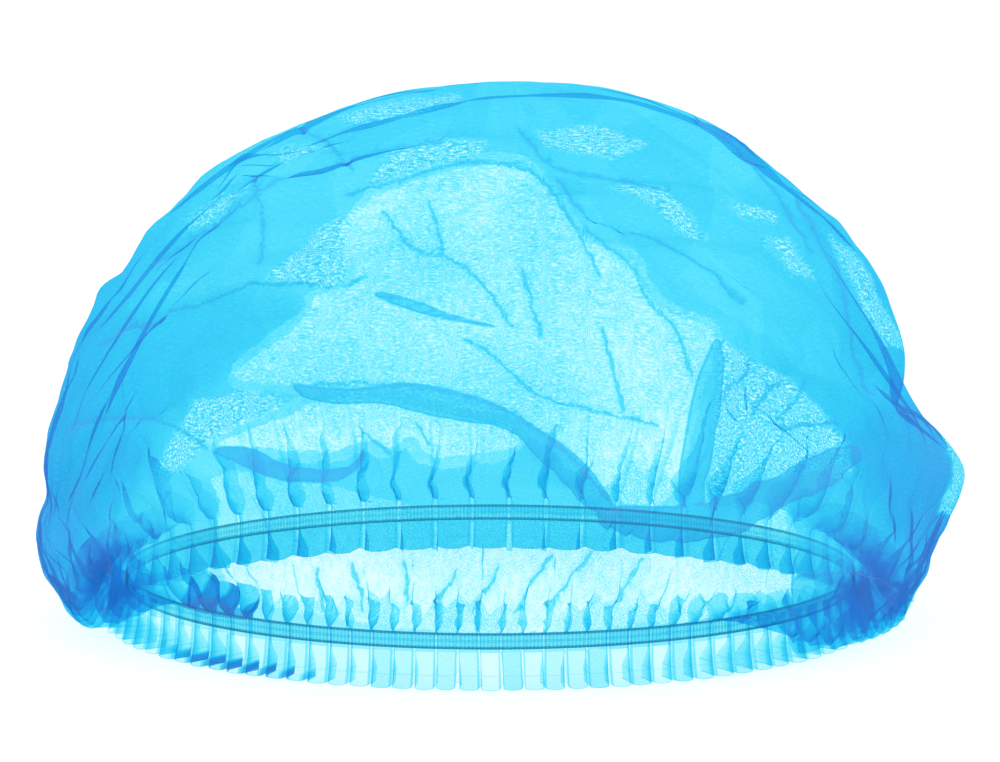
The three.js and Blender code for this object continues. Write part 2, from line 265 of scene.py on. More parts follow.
# Distance to an outline, above 0 inside it
def distanceInside(points, outline):
    corners = np.array(outline, float)
    nearest = distanceToLine(points, np.concatenate([corners, corners[:1]]))
    inside = np.zeros(points.shape[:-1], bool)
    x, y = points[..., 0], points[..., 1]
    for (ax, ay), (bx, by) in zip(corners, np.roll(corners, -1, axis=0)):
        crosses = (ay > y) != (by > y)
        reach = ax + (y - ay) * (bx - ax) / (by - ay + 1e-12)
        inside ^= crosses & (x < reach)
    return np.where(inside, nearest, -nearest)


# Distance to the nearest of several lines, below 0 on their right-hand side, and the same without the side
def distanceBeside(points, lines):
    nearest = np.full(points.shape[:-1], 1e9)
    side = np.zeros(points.shape[:-1])
    for line in lines:
        for a, b in zip(line[:-1], line[1:]):
            away = distanceToLine(points, [a, b])
            turn = (b[0] - a[0]) * (points[..., 1] - a[1]) - (b[1] - a[1]) * (points[..., 0] - a[0])
            closer = away < nearest
            nearest = np.where(closer, away, nearest)
            side = np.where(closer, turn / np.linalg.norm(b - a), side)
    return side, nearest


# Corners of an outline rounded off by cutting them, twice
def rounded(outline, closed=True):
    points = np.array(outline, float)
    for again in range(2):
        after = np.roll(points, -1, axis=0)
        pairs = np.stack([0.75 * points + 0.25 * after, 0.25 * points + 0.75 * after], 1)
        if closed:
            points = pairs.reshape(-1, 2)
        else:
            points = np.concatenate([points[:1], pairs[:-1].reshape(-1, 2), points[-1:]])
    return points


# How far the folds lift each point of the smooth crown
def foldLift(points):
    lift = np.zeros(points.shape[:-1])
    for fold in folds:
        places = []
        for around, up in fold["through"]:
            keys = keyRows(np.array([2 * math.pi * around]))[:, 0]
            low = min(int(up), len(keys) - 2)
            places.append(keys[low] + (keys[low + 1] - keys[low]) * (up - low))
        away = distanceToLine(points, np.array(places)) / (fold["wide"] * capShape["foldWidth"])
        lift += fold["high"] * capShape["foldHeight"] * np.exp(-away ** capShape["foldCrispness"])
    return lift


# What the cloth looks like from the front, read in the view above
pale = {
    "mainPanel": [(224, 375), (269, 349), (308, 316), (314, 293), (362, 286), (345, 240), (362, 203),
                  (401, 185), (465, 164), (524, 164), (552, 192), (578, 237), (633, 257), (651, 306),
                  (700, 322), (720, 335), (700, 400), (676, 508), (615, 508), (575, 455), (519, 415),
                  (463, 408), (404, 389), (342, 391), (297, 386), (252, 383)],
    "lowerPanel": [(205, 446), (262, 425), (320, 400), (363, 392), (440, 412), (516, 424), (523, 446),
                   (470, 455), (427, 459), (414, 430), (392, 452), (370, 437), (330, 455), (260, 447)],
}
# Pale in the front wall only, down to the gathers
paleFront = [(200, 470), (225, 520), (215, 560), (235, 600), (500, 640), (800, 600), (790, 560),
             (800, 500), (700, 505), (600, 520), (400, 505), (300, 480)]
windows = {
    "triangle": [(266, 282), (320, 226), (365, 205), (352, 262), (338, 287)],
    "upperLeft": [(185, 230), (195, 215), (245, 183), (252, 186), (205, 225)],
    "crownLeft": [(270, 150), (300, 143), (340, 142), (300, 158), (285, 165)],
    "top": [(335, 118), (380, 102), (460, 92), (462, 100), (410, 118), (360, 125)],
    "underTop": [(392, 150), (440, 140), (488, 143), (480, 155), (400, 175), (365, 190)],
    "topRight": [(535, 130), (600, 125), (650, 145), (615, 160), (545, 148)],
    "upperRight": [(605, 185), (665, 190), (710, 240), (690, 235), (640, 200)],
    "farRight": [(730, 205), (780, 212), (775, 225), (740, 215)],
    "shoulder": [(760, 235), (790, 240), (820, 280), (790, 272)],
    "rightEdge": [(825, 230), (862, 260), (905, 350), (885, 345), (850, 285)],
    "leftMiddle": [(155, 470), (200, 400), (250, 390), (290, 400), (205, 445), (180, 470)],
    "rightMiddle": [(790, 430), (830, 425), (856, 470), (830, 485)],
    "lobeRim": [(936, 418), (960, 436), (970, 480), (958, 522), (938, 512), (950, 470)],
    "fan": [(722, 338), (756, 356), (804, 395), (830, 420), (858, 470), (760, 475), (707, 504)],
}
strips = {
    "wide": [(288, 384), (322, 388), (360, 390), (392, 384), (414, 384), (446, 389), (491, 401), (529, 424),
             (561, 443), (593, 472), (620, 516), (586, 512), (555, 472), (513, 426), (462, 420), (421, 412),
             (379, 400), (345, 404), (306, 398)],
    "tapered": [(364, 288), (421, 302), (451, 316), (508, 330), (451, 321), (392, 304)],
    "wedge": [(722, 325), (722, 400), (707, 480), (705, 504), (675, 504), (688, 417), (700, 370)],
    "shelf": [(207, 449), (252, 446), (283, 468), (347, 472), (370, 440), (350, 478), (331, 486),
              (274, 484), (226, 459)],
    "lowRight": [(590, 505), (700, 508), (760, 480), (850, 440), (860, 470), (800, 500), (720, 540),
                 (650, 540), (600, 525)],
    # The slit is painted shadow in the dark gap at the left end of the rim, the patch painted shade on the
    # far wall's inside seen through the opening
    "shadedSlit": [(176, 600), (205, 590), (240, 602), (262, 618), (235, 617), (200, 610)],
    "shadedPatch": [(786, 578), (830, 570), (872, 576), (897, 592), (880, 614), (850, 634), (815, 652), (788, 658)],
}
# How many layers each strip adds; for the slit and the patch these layers are painted shade, not cloth
stripAdds = {"wide": 2.9, "tapered": 3.0, "wedge": 2.4, "shelf": 5.5, "lowRight": 4.4,
             "shadedSlit": 6.0, "shadedPatch": 1.0}
# Corners where the cloth is heaped up
heaps = {
    "left": [(30, 400), (120, 420), (190, 470), (245, 505), (225, 560), (170, 592), (90, 640), (20, 600)],
    "right": [(760, 520), (800, 480), (850, 440), (880, 400), (950, 400), (990, 470), (930, 640), (880, 600),
              (830, 545)],
    "leftTop": [(60, 330), (170, 300), (290, 285), (310, 315), (230, 370), (150, 420), (40, 440)],
}
# Lines along the creases: the cloth sinks in there, and the crown's material paints shade along them
creases = {
    "brow": [(348, 194), (399, 181), (459, 159), (526, 163), (557, 194), (599, 274)],
    "second": [(584, 228), (637, 267), (645, 301), (676, 324), (691, 374)],
    "curve": [(383, 213), (415, 251), (443, 254), (478, 277), (511, 324)],
    "branch": [(430, 203), (443, 251)],
    "short": [(522, 270), (541, 334)],
    "shortRight": [(603, 330), (624, 407)],
    "thin": [(466, 341), (490, 350), (525, 388), (555, 402), (657, 425)],
    "windowTop": [(252, 286), (344, 288), (363, 277)],
    "stripTop": [(293, 385), (414, 385), (491, 401), (561, 443), (618, 513)],
    "leftLine": [(255, 178), (265, 219), (261, 264)],
    "fanLow": [(725, 397), (753, 359)],
    "fanMiddle": [(750, 412), (778, 382)],
    "fanHigh": [(778, 420), (804, 384)],
    "fanFlat": [(770, 422), (835, 425)],
    "rightFall": [(800, 200), (838, 262), (850, 330), (872, 395)],
    "tentLeft": [(364, 435), (389, 453)],
    "tentRight": [(417, 425), (428, 443)],
    "bulge": [(110, 520), (105, 560), (107, 612)],
    "upperVein": [(150, 260), (196, 232), (250, 196), (300, 172), (372, 150), (440, 140)],
    "topVein": [(520, 128), (548, 160), (600, 178), (668, 186)],
    "rightVein": [(700, 120), (742, 150), (790, 204), (812, 250)],
    "innerVein": [(560, 180), (585, 214), (640, 236), (700, 262), (742, 300)],
    "leftVein": [(100, 345), (150, 318), (215, 296), (252, 286)],
    "lowVein": [(70, 430), (120, 412), (170, 420), (205, 447)],
    "topLeftVein": [(300, 128), (330, 142), (352, 170)],
}
# Slanting creases in the clear strip above the near elastic, with painted shade along them too: top and
# bottom across, top and bottom down
gapCreases = [(352, 362, 566, 606), (403, 406, 562, 598), (455, 436, 574, 606), (497, 474, 572, 608),
              (548, 516, 560, 606), (590, 552, 556, 604), (640, 618, 560, 600), (318, 322, 572, 606)]
creases.update({f"gap{i}": [(a, top), (b, bottom)] for i, (a, b, top, bottom) in enumerate(gapCreases)})

cloth = {
    "columnsPerPleat": 12,
    "coarseRows": 38,            # doubled twice
    "rowsPerStep": (70, 50, 20),        # rows with every column, every second and every fourth one
    "topShare": 0.992,           # how far up the columns run before the top is closed
    "tuckDeep": 0.0085,          # how far a pleat's tuck runs in, above and below the elastic
    "tuckAtElastic": 0.0026,
    "tuckOpens": 0.007,          # height above the elastic where a tuck has its full depth
    "reachFront": (0.007, 0.013),       # how far up the tucks run, at the front and elsewhere
    "reachElsewhere": (0.016, 0.042),
    "panelOut": 0.0012,          # how far the panels between the tucks stand out
    "panelFlattens": 0.03,
    "hoopSpare": (0.50, 0.045, 0.04),   # spare cloth round the cap, near the elastic, in the flanks, on top
    "spareFades": 0.022,         # over this height above the elastic
    "climbSpare": 0.14,
    "lessClimb": {"panels": 0.8, "high": 0.75, "flanks": 0.45},
    "panelSpare": 0.02,          # in the flat panels of the front
    "seedHigh": 0.0018,          # the first small heights that the cloth buckles from
    "lessSeed": {"panels": 0.9, "flanks": 0.6},
    "moveMost": 0.0085,
    "outMost": 0.0022,
    "lowest": 0.0006,            # above the floor
    "edgeGrip": 0.45,            # share of a wrong length that one round puts right, at each end
    "slantGrip": 0.12,
    "crowdingEnds": (0.03, 0.30),       # shares of the way up between which the columns even out
    "topHeld": (0.90, 0.98),
    "sides": (0.35, 0.85),              # where these begin and are full, in shares of the half width
    "flanks": (0.50, 0.97),
    "zoneFades": (-3, 4),               # millimetres inside an outline over which its effect comes in
    "backPanelGrows": 2.5,
    "pull": (0.006, 0.05, 0.4),  # how hard it is held to its home: anywhere, in flat panels, near the top
    "settling": [
        {"step": 4, "pinned": 2, "rounds": 160, "bend": 0.07},
        {"step": 2, "pinned": 3, "rounds": 80, "bend": 0.07},
        {"step": 1, "pinned": 5, "rounds": 36, "bend": 0.09},
    ],
    "foldsFrom": (0.002, 0.010),        # heights above the elastic over which the folds come in
    "reliefFrom": (0.004, 0.012),       # and the strips and creases
    "stripProud": 0.0009,
    "creaseSunk": 0.0010,
    "seed": 41,
    # Layers of cloth that the light passes: in a wall, more in the flanks and again low down in them
    "wallLayers": 2.35,
    "flankLayers": 1.35,
    "lowFlankLayers": 1.9,
    "lowBackLayers": 2.3,
    "heapLayers": 0.9,
    "panelLayers": (1.60, 1.12),        # in the pale panels, high up and low down
    "panelThins": (385, 440),           # between these heights in the view
    "thinAtEnds": 0.74,          # how much less a layer counts where the cloth lies many times over itself
    "gatherHigh": 0.0085,        # how high the denser cloth above the elastic reaches
    "gatherPeaks": 0.0035,
    "gatherStrays": (-0.002, 0.003),
    # the gathered cloth's extra layers, drawn per pleat, partly denser cloth and partly painted shade
    "gatherAndShadeLayers": (0.4, 1.5),
}
# Places of the columns within one pleat, as shares of its width, crowded at the tuck
tuckPhases = np.array([-0.5, -0.485, -0.46, -0.43, -0.38, -0.2, 0, 0.2, 0.38, 0.43, 0.46, 0.485])
tuckDepths = np.array([1, 0.93, 0.5, 0.06, 0, 0, 0, 0, 0, 0.06, 0.5, 0.93])
# Where the lips of each tuck lie, which get painted shade
tuckMouths = np.array([0, 0, 0.2, 1, 0, 0, 0, 0, 0, 1, 0.2, 0])


# Pairs of neighbours pushed or pulled towards the length of cloth that lies between them
def holdApart(a, b, rest, share):
    way = b - a
    length = np.maximum(np.linalg.norm(way, axis=-1, keepdims=True), 1e-9)
    move = way * (1 - rest[..., None] / length) * share
    return a + move, b - move


# The two lips of each tuck drawn back together, where the tuck is shut
def shutTucks(points, home, shut):
    perPleatHere = points.shape[1] // pleats
    lips = slice(2 * perPleatHere // 3, None, perPleatHere), slice(perPleatHere // 3, None, perPleatHere)
    a, b = points[:, lips[0]], np.roll(points[:, lips[1]], -1, axis=1)
    way = b - a
    most = np.linalg.norm(np.roll(home[:, lips[1]], -1, axis=1) - home[:, lips[0]], axis=2, keepdims=True)
    wrong = np.maximum(1 - most / np.maximum(np.linalg.norm(way, axis=2, keepdims=True), 1e-9), 0)
    move = cloth["edgeGrip"] * way * wrong * shut[:, lips[0], None]
    points[:, lips[0]] = a + move
    points[:, lips[1]] = np.roll(b - move, 1, axis=1)


# Lets the spare cloth buckle: every edge seeks its own cut length while the cloth keeps near its home
def settle(points, home, out, hoop, climb, pinned, rounds, bend, pull, shut):
    grip = cloth["edgeGrip"]
    slant = np.sqrt(hoop[:-1] ** 2 + climb ** 2)
    points = points.copy()
    pinnedRows = points[:pinned].copy()
    for step in range(rounds):
        for first in (0, 1):
            shifted = np.roll(points, -first, axis=1)
            rest = np.roll(hoop, -first, axis=1)[:, 0::2]
            a, b = holdApart(shifted[:, 0::2], shifted[:, 1::2], rest, grip)
            shifted[:, 0::2], shifted[:, 1::2] = a, b
            points = np.roll(shifted, first, axis=1)
            last = (len(points) - first) // 2 * 2 + first
            lower, upper = points[first:last:2], points[first + 1:last:2]
            a, b = holdApart(lower, upper, climb[first:last - 1:2], grip)
            points[first:last:2], points[first + 1:last:2] = a, b
        for side in (1, -1):
            a, b = holdApart(points[:-1], np.roll(points[1:], -side, axis=1), slant, cloth["slantGrip"])
            points[:-1] = a
            points[1:] = 0.5 * (points[1:] + np.roll(b, side, axis=1))
        shutTucks(points, home, shut)
        around = 0.5 * (np.roll(points, 1, axis=1) + np.roll(points, -1, axis=1))
        points += bend * (around - points)
        points[1:-1] += bend * (0.5 * (points[2:] + points[:-2]) - points[1:-1])
        moved = points - home
        moved -= pull[..., None] * moved
        away = np.sum(moved * out, axis=2)
        moved -= np.maximum(away - cloth["outMost"], 0)[..., None] * out
        far = np.linalg.norm(moved, axis=2, keepdims=True)
        moved *= np.minimum(1, cloth["moveMost"] / np.maximum(far, 1e-9))
        points = home + moved
        points[:pinned] = pinnedRows
        points[..., 2] = np.maximum(points[..., 2], cloth["lowest"])
    return points


# Twice the rows and columns of a grid, by curves through its points
def doubled(grid):
    wide = np.empty((grid.shape[0], grid.shape[1] * 2) + grid.shape[2:])
    near = grid + np.roll(grid, -1, axis=1)
    far = np.roll(grid, 1, axis=1) + np.roll(grid, -2, axis=1)
    wide[:, 0::2] = grid
    wide[:, 1::2] = (9 * near - far) / 16
    tall = np.empty((grid.shape[0] * 2 - 1,) + wide.shape[1:])
    tall[0::2] = wide
    tall[1::2] = 0.5 * (wide[1:] + wide[:-1])
    tall[3:-3:2] = (9 * (wide[2:-1] + wide[1:-2]) - wide[:-3] - wide[3:]) / 16
    return tall


# Random heights, smoothed over so many rows and columns
def smoothNoise(random, shape, overRows, overColumns):
    noise = random.standard_normal(shape)
    for step in range(overColumns):
        noise = 0.25 * (np.roll(noise, 1, axis=1) + np.roll(noise, -1, axis=1)) + 0.5 * noise
    for step in range(overRows):
        padded = np.concatenate([noise[:1], noise, noise[-1:]])
        noise = 0.25 * (padded[:-2] + padded[2:]) + 0.5 * noise
    return noise / np.std(noise)


# Crown: the grid of cloth before it is let go
print("cap: laying out the crown")
pleats = capShape["pleats"]
perPleat = cloth["columnsPerPleat"]
columns = pleats * perPleat
rowCount = 4 * cloth["coarseRows"] + 1
columnShares = (np.arange(columns) - perPleat / 2) / columns
rowShares = np.linspace(0, cloth["topShare"], rowCount)
smooth = smoothCrown(turnOf(columnShares), rowCount, cloth["topShare"])
climbed = np.linalg.norm(np.diff(smooth, axis=0), axis=2)
climbed = np.concatenate([np.zeros((1, columns)), np.cumsum(climbed, axis=0)]) - (neckTop - frillTop)
lift = foldLift(smooth) * smoothStep(*cloth["foldsFrom"], climbed)
home = smooth + outwardOf(smooth) * lift[..., None]

# Low down, the columns crowd together at the tucks
phaseOf = np.tile(tuckPhases, pleats)
deepOf = np.tile(tuckDepths, pleats)
mouthOf = np.tile(tuckMouths, pleats)
crowding = phaseOf * perPleat + perPleat / 2 - np.tile(np.arange(perPleat), pleats)
for row in range(rowCount):
    places = np.arange(columns) + crowding * (1 - smoothStep(*cloth["crowdingEnds"], rowShares[row]))
    for axis in range(3):
        home[row, :, axis] = np.interp(places, np.arange(-2, columns + 2),
                                       np.concatenate([home[row, -2:, axis], home[row, :, axis],
                                                       home[row, :2, axis]]))
out = outwardOf(home)
place = photoPlace(home)
tilt = math.radians(view["elevation"])
towardsView = out @ np.array([0, -math.cos(tilt), math.sin(tilt)])
inFront = towardsView > 0

# Zones, in millimetres inside their outlines
pixel = 0.28    # millimetres to a pixel of the view, at the cap
panelEdge = np.max([distanceInside(place, rounded(outline)) for outline in pale.values()], axis=0) * pixel
gatherEdge = distanceInside(place, rounded(paleFront)) * pixel
paleEdge = np.where(inFront, np.maximum(panelEdge, gatherEdge), panelEdge + cloth["backPanelGrows"])
windowEdge = np.max([distanceInside(place, outline) for outline in windows.values()], axis=0) * pixel


# Distance into the nearest strip and how many layers that strip adds
def stripsAt(place, inFront):
    inside = np.array([distanceInside(place, rounded(outline)) for outline in strips.values()]) * pixel
    adds = np.array([stripAdds[name] for name in strips])[inside.argmax(axis=0)]
    return np.where(inFront, inside.max(axis=0), -20), adds


stripEdge, stripLayers = stripsAt(place, inFront)
heapEdge = np.max([distanceInside(place, rounded(outline)) for outline in heaps.values()], axis=0) * pixel
creaseSide, creaseAway = distanceBeside(place, [rounded(line, False) for line in creases.values()])
creaseSide, creaseAway = creaseSide * pixel, np.where(inFront, creaseAway * pixel, 20)
print("cap: zones found")

random = np.random.default_rng(cloth["seed"])
pleatTurn = turnOf(np.arange(pleats) / pleats)
frontPleat = smoothStep(0.45, 0.9, -np.sin(pleatTurn))
reach = random.uniform(*cloth["reachElsewhere"], pleats) * (1 - frontPleat)
reach = np.repeat(reach + random.uniform(*cloth["reachFront"], pleats) * frontPleat, perPleat)
opened = smoothStep(0.0, cloth["tuckOpens"], climbed)
deep = cloth["tuckAtElastic"] + (cloth["tuckDeep"] - cloth["tuckAtElastic"]) * opened
deep *= 1 - smoothStep(0.2, 1.0, climbed / reach)
standOut = cloth["panelOut"] * (1 - smoothStep(0, cloth["panelFlattens"], climbed))
tucked = home + out * (standOut - deep * deepOf)[..., None]
shut = 1 - smoothStep(0.55, 1.0, climbed / reach)

# Spare cloth: most near the elastic, next most in the flanks, little in the flat panels
offMiddle = np.abs(home[..., 0] - rimMiddle.x) / halfWide
side = smoothStep(*cloth["sides"], offMiddle)
flat = smoothStep(*cloth["zoneFades"], np.where(inFront, panelEdge, panelEdge - cloth["zoneFades"][1]))
spareLow, spareSide, spareTop = cloth["hoopSpare"]
hoopSpare = spareLow * np.exp(-np.maximum(climbed, 0) / cloth["spareFades"])
hoopSpare = hoopSpare + spareTop + (spareSide - spareTop) * side
hoopSpare += (cloth["panelSpare"] - hoopSpare) * flat
less = cloth["lessClimb"]
climbSpare = cloth["climbSpare"] * (1 - less["panels"] * flat)
climbSpare *= 1 - less["high"] * smoothStep(0.5, 0.85, rowShares)[:, None]
climbSpare *= 1 - less["flanks"] * side * smoothStep(0.10, 0.25, rowShares)[:, None]
nearTop = smoothStep(*cloth["topHeld"], rowShares)[:, None]
hoopSpare *= 1 - nearTop
pullAll, pullFlat, pullTop = cloth["pull"]
pull = pullAll + pullFlat * flat + pullTop * nearTop

coarse = (cloth["coarseRows"] + 1, columns // 4)
streaks = smoothNoise(random, coarse, 12, 1)
lumps = smoothNoise(random, coarse, 2, 9)
upward = smoothStep(0.05, 0.22, rowShares)[::4, None]
less = cloth["lessSeed"]
seed = (streaks * (1 - upward) + lumps * upward) * (1 - less["panels"] * flat[::4, ::4])
seed *= 1 - nearTop[::4]
seed *= 1 - less["flanks"] * side[::4, ::4] * upward

points = tucked[::4, ::4] + out[::4, ::4] * (cloth["seedHigh"] * seed)[..., None]
for stage in cloth["settling"]:
    every = (slice(None, None, stage["step"]),) * 2
    here = tucked[every]
    between = np.linalg.norm(np.roll(here, -1, axis=1) - here, axis=2)
    upwards = np.linalg.norm(np.diff(here, axis=0), axis=2)
    points[:stage["pinned"]] = here[:stage["pinned"]]
    points = settle(points, here, out[every], between * (1 + hoopSpare[every]),
                    upwards * (1 + climbSpare[every][:-1]), stage["pinned"], stage["rounds"], stage["bend"],
                    pull[every], shut[every])
    if stage["step"] > 1:
        points = doubled(points)
print("cap: cloth settled")

# Strips stand a little proud, creases sink in
relief = cloth["stripProud"] * smoothStep(-0.5, 0.4, stripEdge)
relief = relief - cloth["creaseSunk"] * np.exp(-creaseAway ** 2)
relief = relief * smoothStep(*cloth["reliefFrom"], climbed)
free = cloth["settling"][-1]["pinned"]
points[free:] += (out * relief[..., None])[free:]

# Layers of cloth that the light passes at each place
height = home[..., 2] / crownTop
flank = smoothStep(*cloth["flanks"], offMiddle)
lowDown = smoothStep(0.55, 0.15, height)
layers = cloth["wallLayers"] + (cloth["flankLayers"] + cloth["lowFlankLayers"] * lowDown) * flank
layers = np.where(inFront | (height > 0.3) | (flank > 0.3), layers, cloth["lowBackLayers"])
layers += cloth["heapLayers"] * smoothStep(*cloth["zoneFades"], heapEdge)
atEnds = np.abs(np.cos(turnOf(columnShares)))
doubledUp = smoothStep(0.55, 0.85, atEnds) * smoothStep(0.034, 0.018, climbed)
layers *= 1 - cloth["thinAtEnds"] * doubledUp
panelHigh, panelLow = cloth["panelLayers"]
panelLayers = panelHigh + (panelLow - panelHigh) * smoothStep(*cloth["panelThins"], place[..., 1])
present = 1 - smoothStep(0.3, 1.0, climbed / reach)
gatherTop = cloth["gatherHigh"] + cloth["gatherPeaks"] * np.abs(2 * phaseOf)
gatherTop = gatherTop + np.repeat(random.uniform(*cloth["gatherStrays"], pleats), perPleat)
# Denser gathered cloth above the elastic, its extra layers changed pleat by pleat at random as painted shade
gatherDensityAndShade = np.repeat(random.uniform(*cloth["gatherAndShadeLayers"], pleats), perPleat)
cuts = {
    "layers": layers,
    "paleEdge": paleEdge,
    "windowEdge": windowEdge,
    "stripEdge": stripEdge,
    "creaseSide": creaseSide,
    "creaseAway": creaseAway,
    "overlap": doubled(doubled(smoothNoise(random, coarse, 6, 40))),
    "stripLayers": stripLayers,
    "panelLayers": panelLayers,
    "gather": (gatherTop - climbed) * 1000,
    "gatherAndShadeLayers": gatherDensityAndShade,
    "tuck": np.minimum(deepOf * 3, 1) * present,
    "mouthShade": mouthOf * present,
}


# A mesh from rows of points that each close on themselves; a row may have half the points of the one below
def meshOfRings(name, grid, steps, attributes, flatPlace, closedTop):
    attributes = {key: np.broadcast_to(value, grid.shape[:2]) for key, value in attributes.items()}
    used = [np.arange(0, grid.shape[1], step) for step in steps]
    firsts = np.cumsum([0] + [len(ring) for ring in used])
    corners = []
    for row in range(len(used) - 1):
        below, above = len(used[row]), len(used[row + 1])
        i = np.arange(above)
        j = (i + 1) % above
        c, d = firsts[row + 1] + j, firsts[row + 1] + i
        ratio = below // above
        a, b = firsts[row] + i * ratio, firsts[row] + j * ratio
        if ratio == 1:
            corners += [np.stack([a, b, c], 1), np.stack([a, c, d], 1)]
        else:
            middle = a + 1
            corners += [np.stack([a, middle, d], 1), np.stack([middle, c, d], 1),
                        np.stack([middle, b, c], 1)]
    places = np.concatenate([grid[row, ring] for row, ring in enumerate(used)])
    flats = np.concatenate([flatPlace[row, ring] for row, ring in enumerate(used)])
    values = {key: np.concatenate([value[row, ring] for row, ring in enumerate(used)])
              for key, value in attributes.items()}
    if closedTop:
        last = used[-1]
        i = np.arange(len(last))
        corners.append(np.stack([firsts[-2] + i, firsts[-2] + (i + 1) % len(last),
                                 np.full(len(last), len(places))], 1))
        places = np.concatenate([places, grid[-1, last].mean(0)[None] + [[0, 0, 0.0002]]])
        flats = np.concatenate([flats, flatPlace[-1, last].mean(0)[None]])
        values = {key: np.append(value, value[-len(last):].mean()) for key, value in values.items()}
    triangles = np.concatenate(corners)
    mesh = bpy.data.meshes.new(name)
    mesh.from_pydata(places.tolist(), [], triangles.tolist())
    mesh.polygons.foreach_set("use_smooth", np.ones(len(triangles), bool))
    for key, value in values.items():
        mesh.attributes.new(key, "FLOAT", "POINT").data.foreach_set("value", value.astype(np.float32))
    uvMap = mesh.uv_layers.new(name="cloth")
    loops = np.empty(len(mesh.loops), np.int32)
    mesh.loops.foreach_get("vertex_index", loops)
    uvMap.data.foreach_set("uv", flats[loops].astype(np.float32).ravel())
    piece = bpy.data.objects.new(name, mesh)
    bpy.context.scene.collection.objects.link(piece)
    print("cap:", name, len(triangles), "triangles")
    return piece


# A place on the flat cloth map, so far from its middle
def onFlatCloth(away):
    return np.stack([away * np.cos(flatTurn), away * np.sin(flatTurn)], -1) / cut["uvAcross"] + 0.5


cut = {
    "crownAcross": 0.511,       # the round of cloth inside the elastic line, laid flat
    "frillWide": 0.0111,        # and the frill outside it
    "uvAcross": 0.6,            # what the whole cloth map stands for
}
flatTurn = 2 * math.pi * (columnShares + crowding / columns)[None]
crownFlat = onFlatCloth((1 - rowShares)[:, None] * cut["crownAcross"] / 2)
rowsPerStep = list(cloth["rowsPerStep"])
steps = np.repeat([1, 2, 4, 8], rowsPerStep + [rowCount - sum(rowsPerStep)])
crown = meshOfRings("crown_cloth", points, steps, cuts, crownFlat, True)

# Ruffle: the same cloth below the elastic, in flat panels between deep tucks
frill = {
    "rows": 17,
    "tuckDeep": 0.0072,
    "deepens": (0.05, 0.7),      # shares of the way down over which a tuck gets its depth
    "flare": 0.0016,
    "panelBelly": 0.0007,
    "scallop": 0.0026,
    "frontScallop": 0.0007,
    "backFrom": (-0.5, 0.6),     # sines of the turn between the front's hem and the back's
    "lean": 0.0010,
    "nearLayers": 1.15,
    "farLayers": 4.6,
    "thinAtEnds": 0.45,
    "endsFrom": (0.62, 0.9),
    "tipsAt": 243,               # across the view, where the hem's tips get painted shade, the shadow side of their pleats
    "tipsReach": 62,
    "tipsFrom": (0.72, 0.9),
    "hemClear": 0.0001,
}
downShares = np.linspace(0, 1, frill["rows"])[:, None]
# Each pleat gets its own depth, lean, scallop and belly, and a tone that paints shade on the near frill's
# panels
ownPleat = {key: np.repeat(random.uniform(lowest, highest, pleats), perPleat)[None]
            for key, lowest, highest in (("deep", 0.75, 1.15), ("lean", -1, 1), ("scallop", 0.35, 1.0),
                                         ("belly", 0.3, 1.6), ("shadeTone", 0.5, 1.7))}
belly = np.cos(math.pi * phaseOf)[None]
tuckDepth = cloth["tuckAtElastic"] + (frill["tuckDeep"] * ownPleat["deep"] - cloth["tuckAtElastic"]) \
    * smoothStep(*frill["deepens"], downShares)
outBy = cloth["panelOut"] + frill["flare"] * downShares ** 1.5 - tuckDepth * deepOf[None] \
    + frill["panelBelly"] * ownPleat["belly"] * belly * downShares
outFlat = out[0] * np.array([1, 1, 0])
outFlat /= np.linalg.norm(outFlat, axis=1, keepdims=True)
alongRim = np.cross([0, 0, 1], outFlat)
lean = frill["lean"] * ownPleat["lean"] * downShares * (0.3 + deepOf[None])
frillGrid = home[0][None] + outFlat[None] * outBy[..., None] + alongRim[None] * lean[..., None]
backwards = smoothStep(*frill["backFrom"], np.sin(turnOf(columnShares)))[None]
scallop = frill["frontScallop"] + (frill["scallop"] - frill["frontScallop"]) * backwards
scallop = scallop * ownPleat["scallop"] * np.abs(2 * phaseOf[None]) ** 3 * downShares ** 2
drop = (frillTop - frill["hemClear"]) * downShares
frillGrid[..., 2] = frillTop - drop + scallop
frillFlat = onFlatCloth(cut["crownAcross"] / 2 + downShares * cut["frillWide"])
frillPlace = photoPlace(frillGrid)
frillFront = (out[0, :, 1] < 0)[None]
frillStrip, frillAdds = stripsAt(frillPlace, frillFront)
# Painted shade on the near hem's tips, on the shadow side of the pleats
paintedTipShade = np.exp(-((frillPlace[..., 0] - frill["tipsAt"]) / frill["tipsReach"]) ** 4)
paintedTipShade = np.where(frillFront, paintedTipShade, 0) * smoothStep(*frill["tipsFrom"], downShares)
paintedTipShade = paintedTipShade * np.maximum(smoothStep(0.25, 0.5, np.abs(phaseOf)), deepOf)[None]
frillThins = 1 - frill["thinAtEnds"] * smoothStep(*frill["endsFrom"], atEnds)[None]
# The near frill's panels get painted shade that differs pleat by pleat
frillLayers = np.where(frillFront, frill["nearLayers"] * ownPleat["shadeTone"], frill["farLayers"])
frillCuts = {
    "layers": frillLayers * frillThins,
    "tuck": np.minimum(deepOf * 3, 1)[None] * np.minimum(1, 6 * downShares),
    "mouthShade": mouthOf[None],
    "hem": downShares,
    "stripEdge": frillStrip,
    "stripLayers": frillAdds,
    "tipShade": paintedTipShade,
}
ruffle = meshOfRings("ruffle_cloth", frillGrid[::-1], [1] * frill["rows"],
                     {key: value[::-1] for key, value in frillCuts.items()}, frillFlat[::-1], False)


# Materials
def addNode(tree, kind, inputs=(), **settings):
    node = tree.nodes.new(kind)
    for key, value in settings.items():
        setattr(node, key, value)
    for key, value in dict(inputs).items():
        if isinstance(value, bpy.types.NodeSocket):
            tree.links.new(value, node.inputs[key])
        else:
            node.inputs[key].default_value = value
    return node


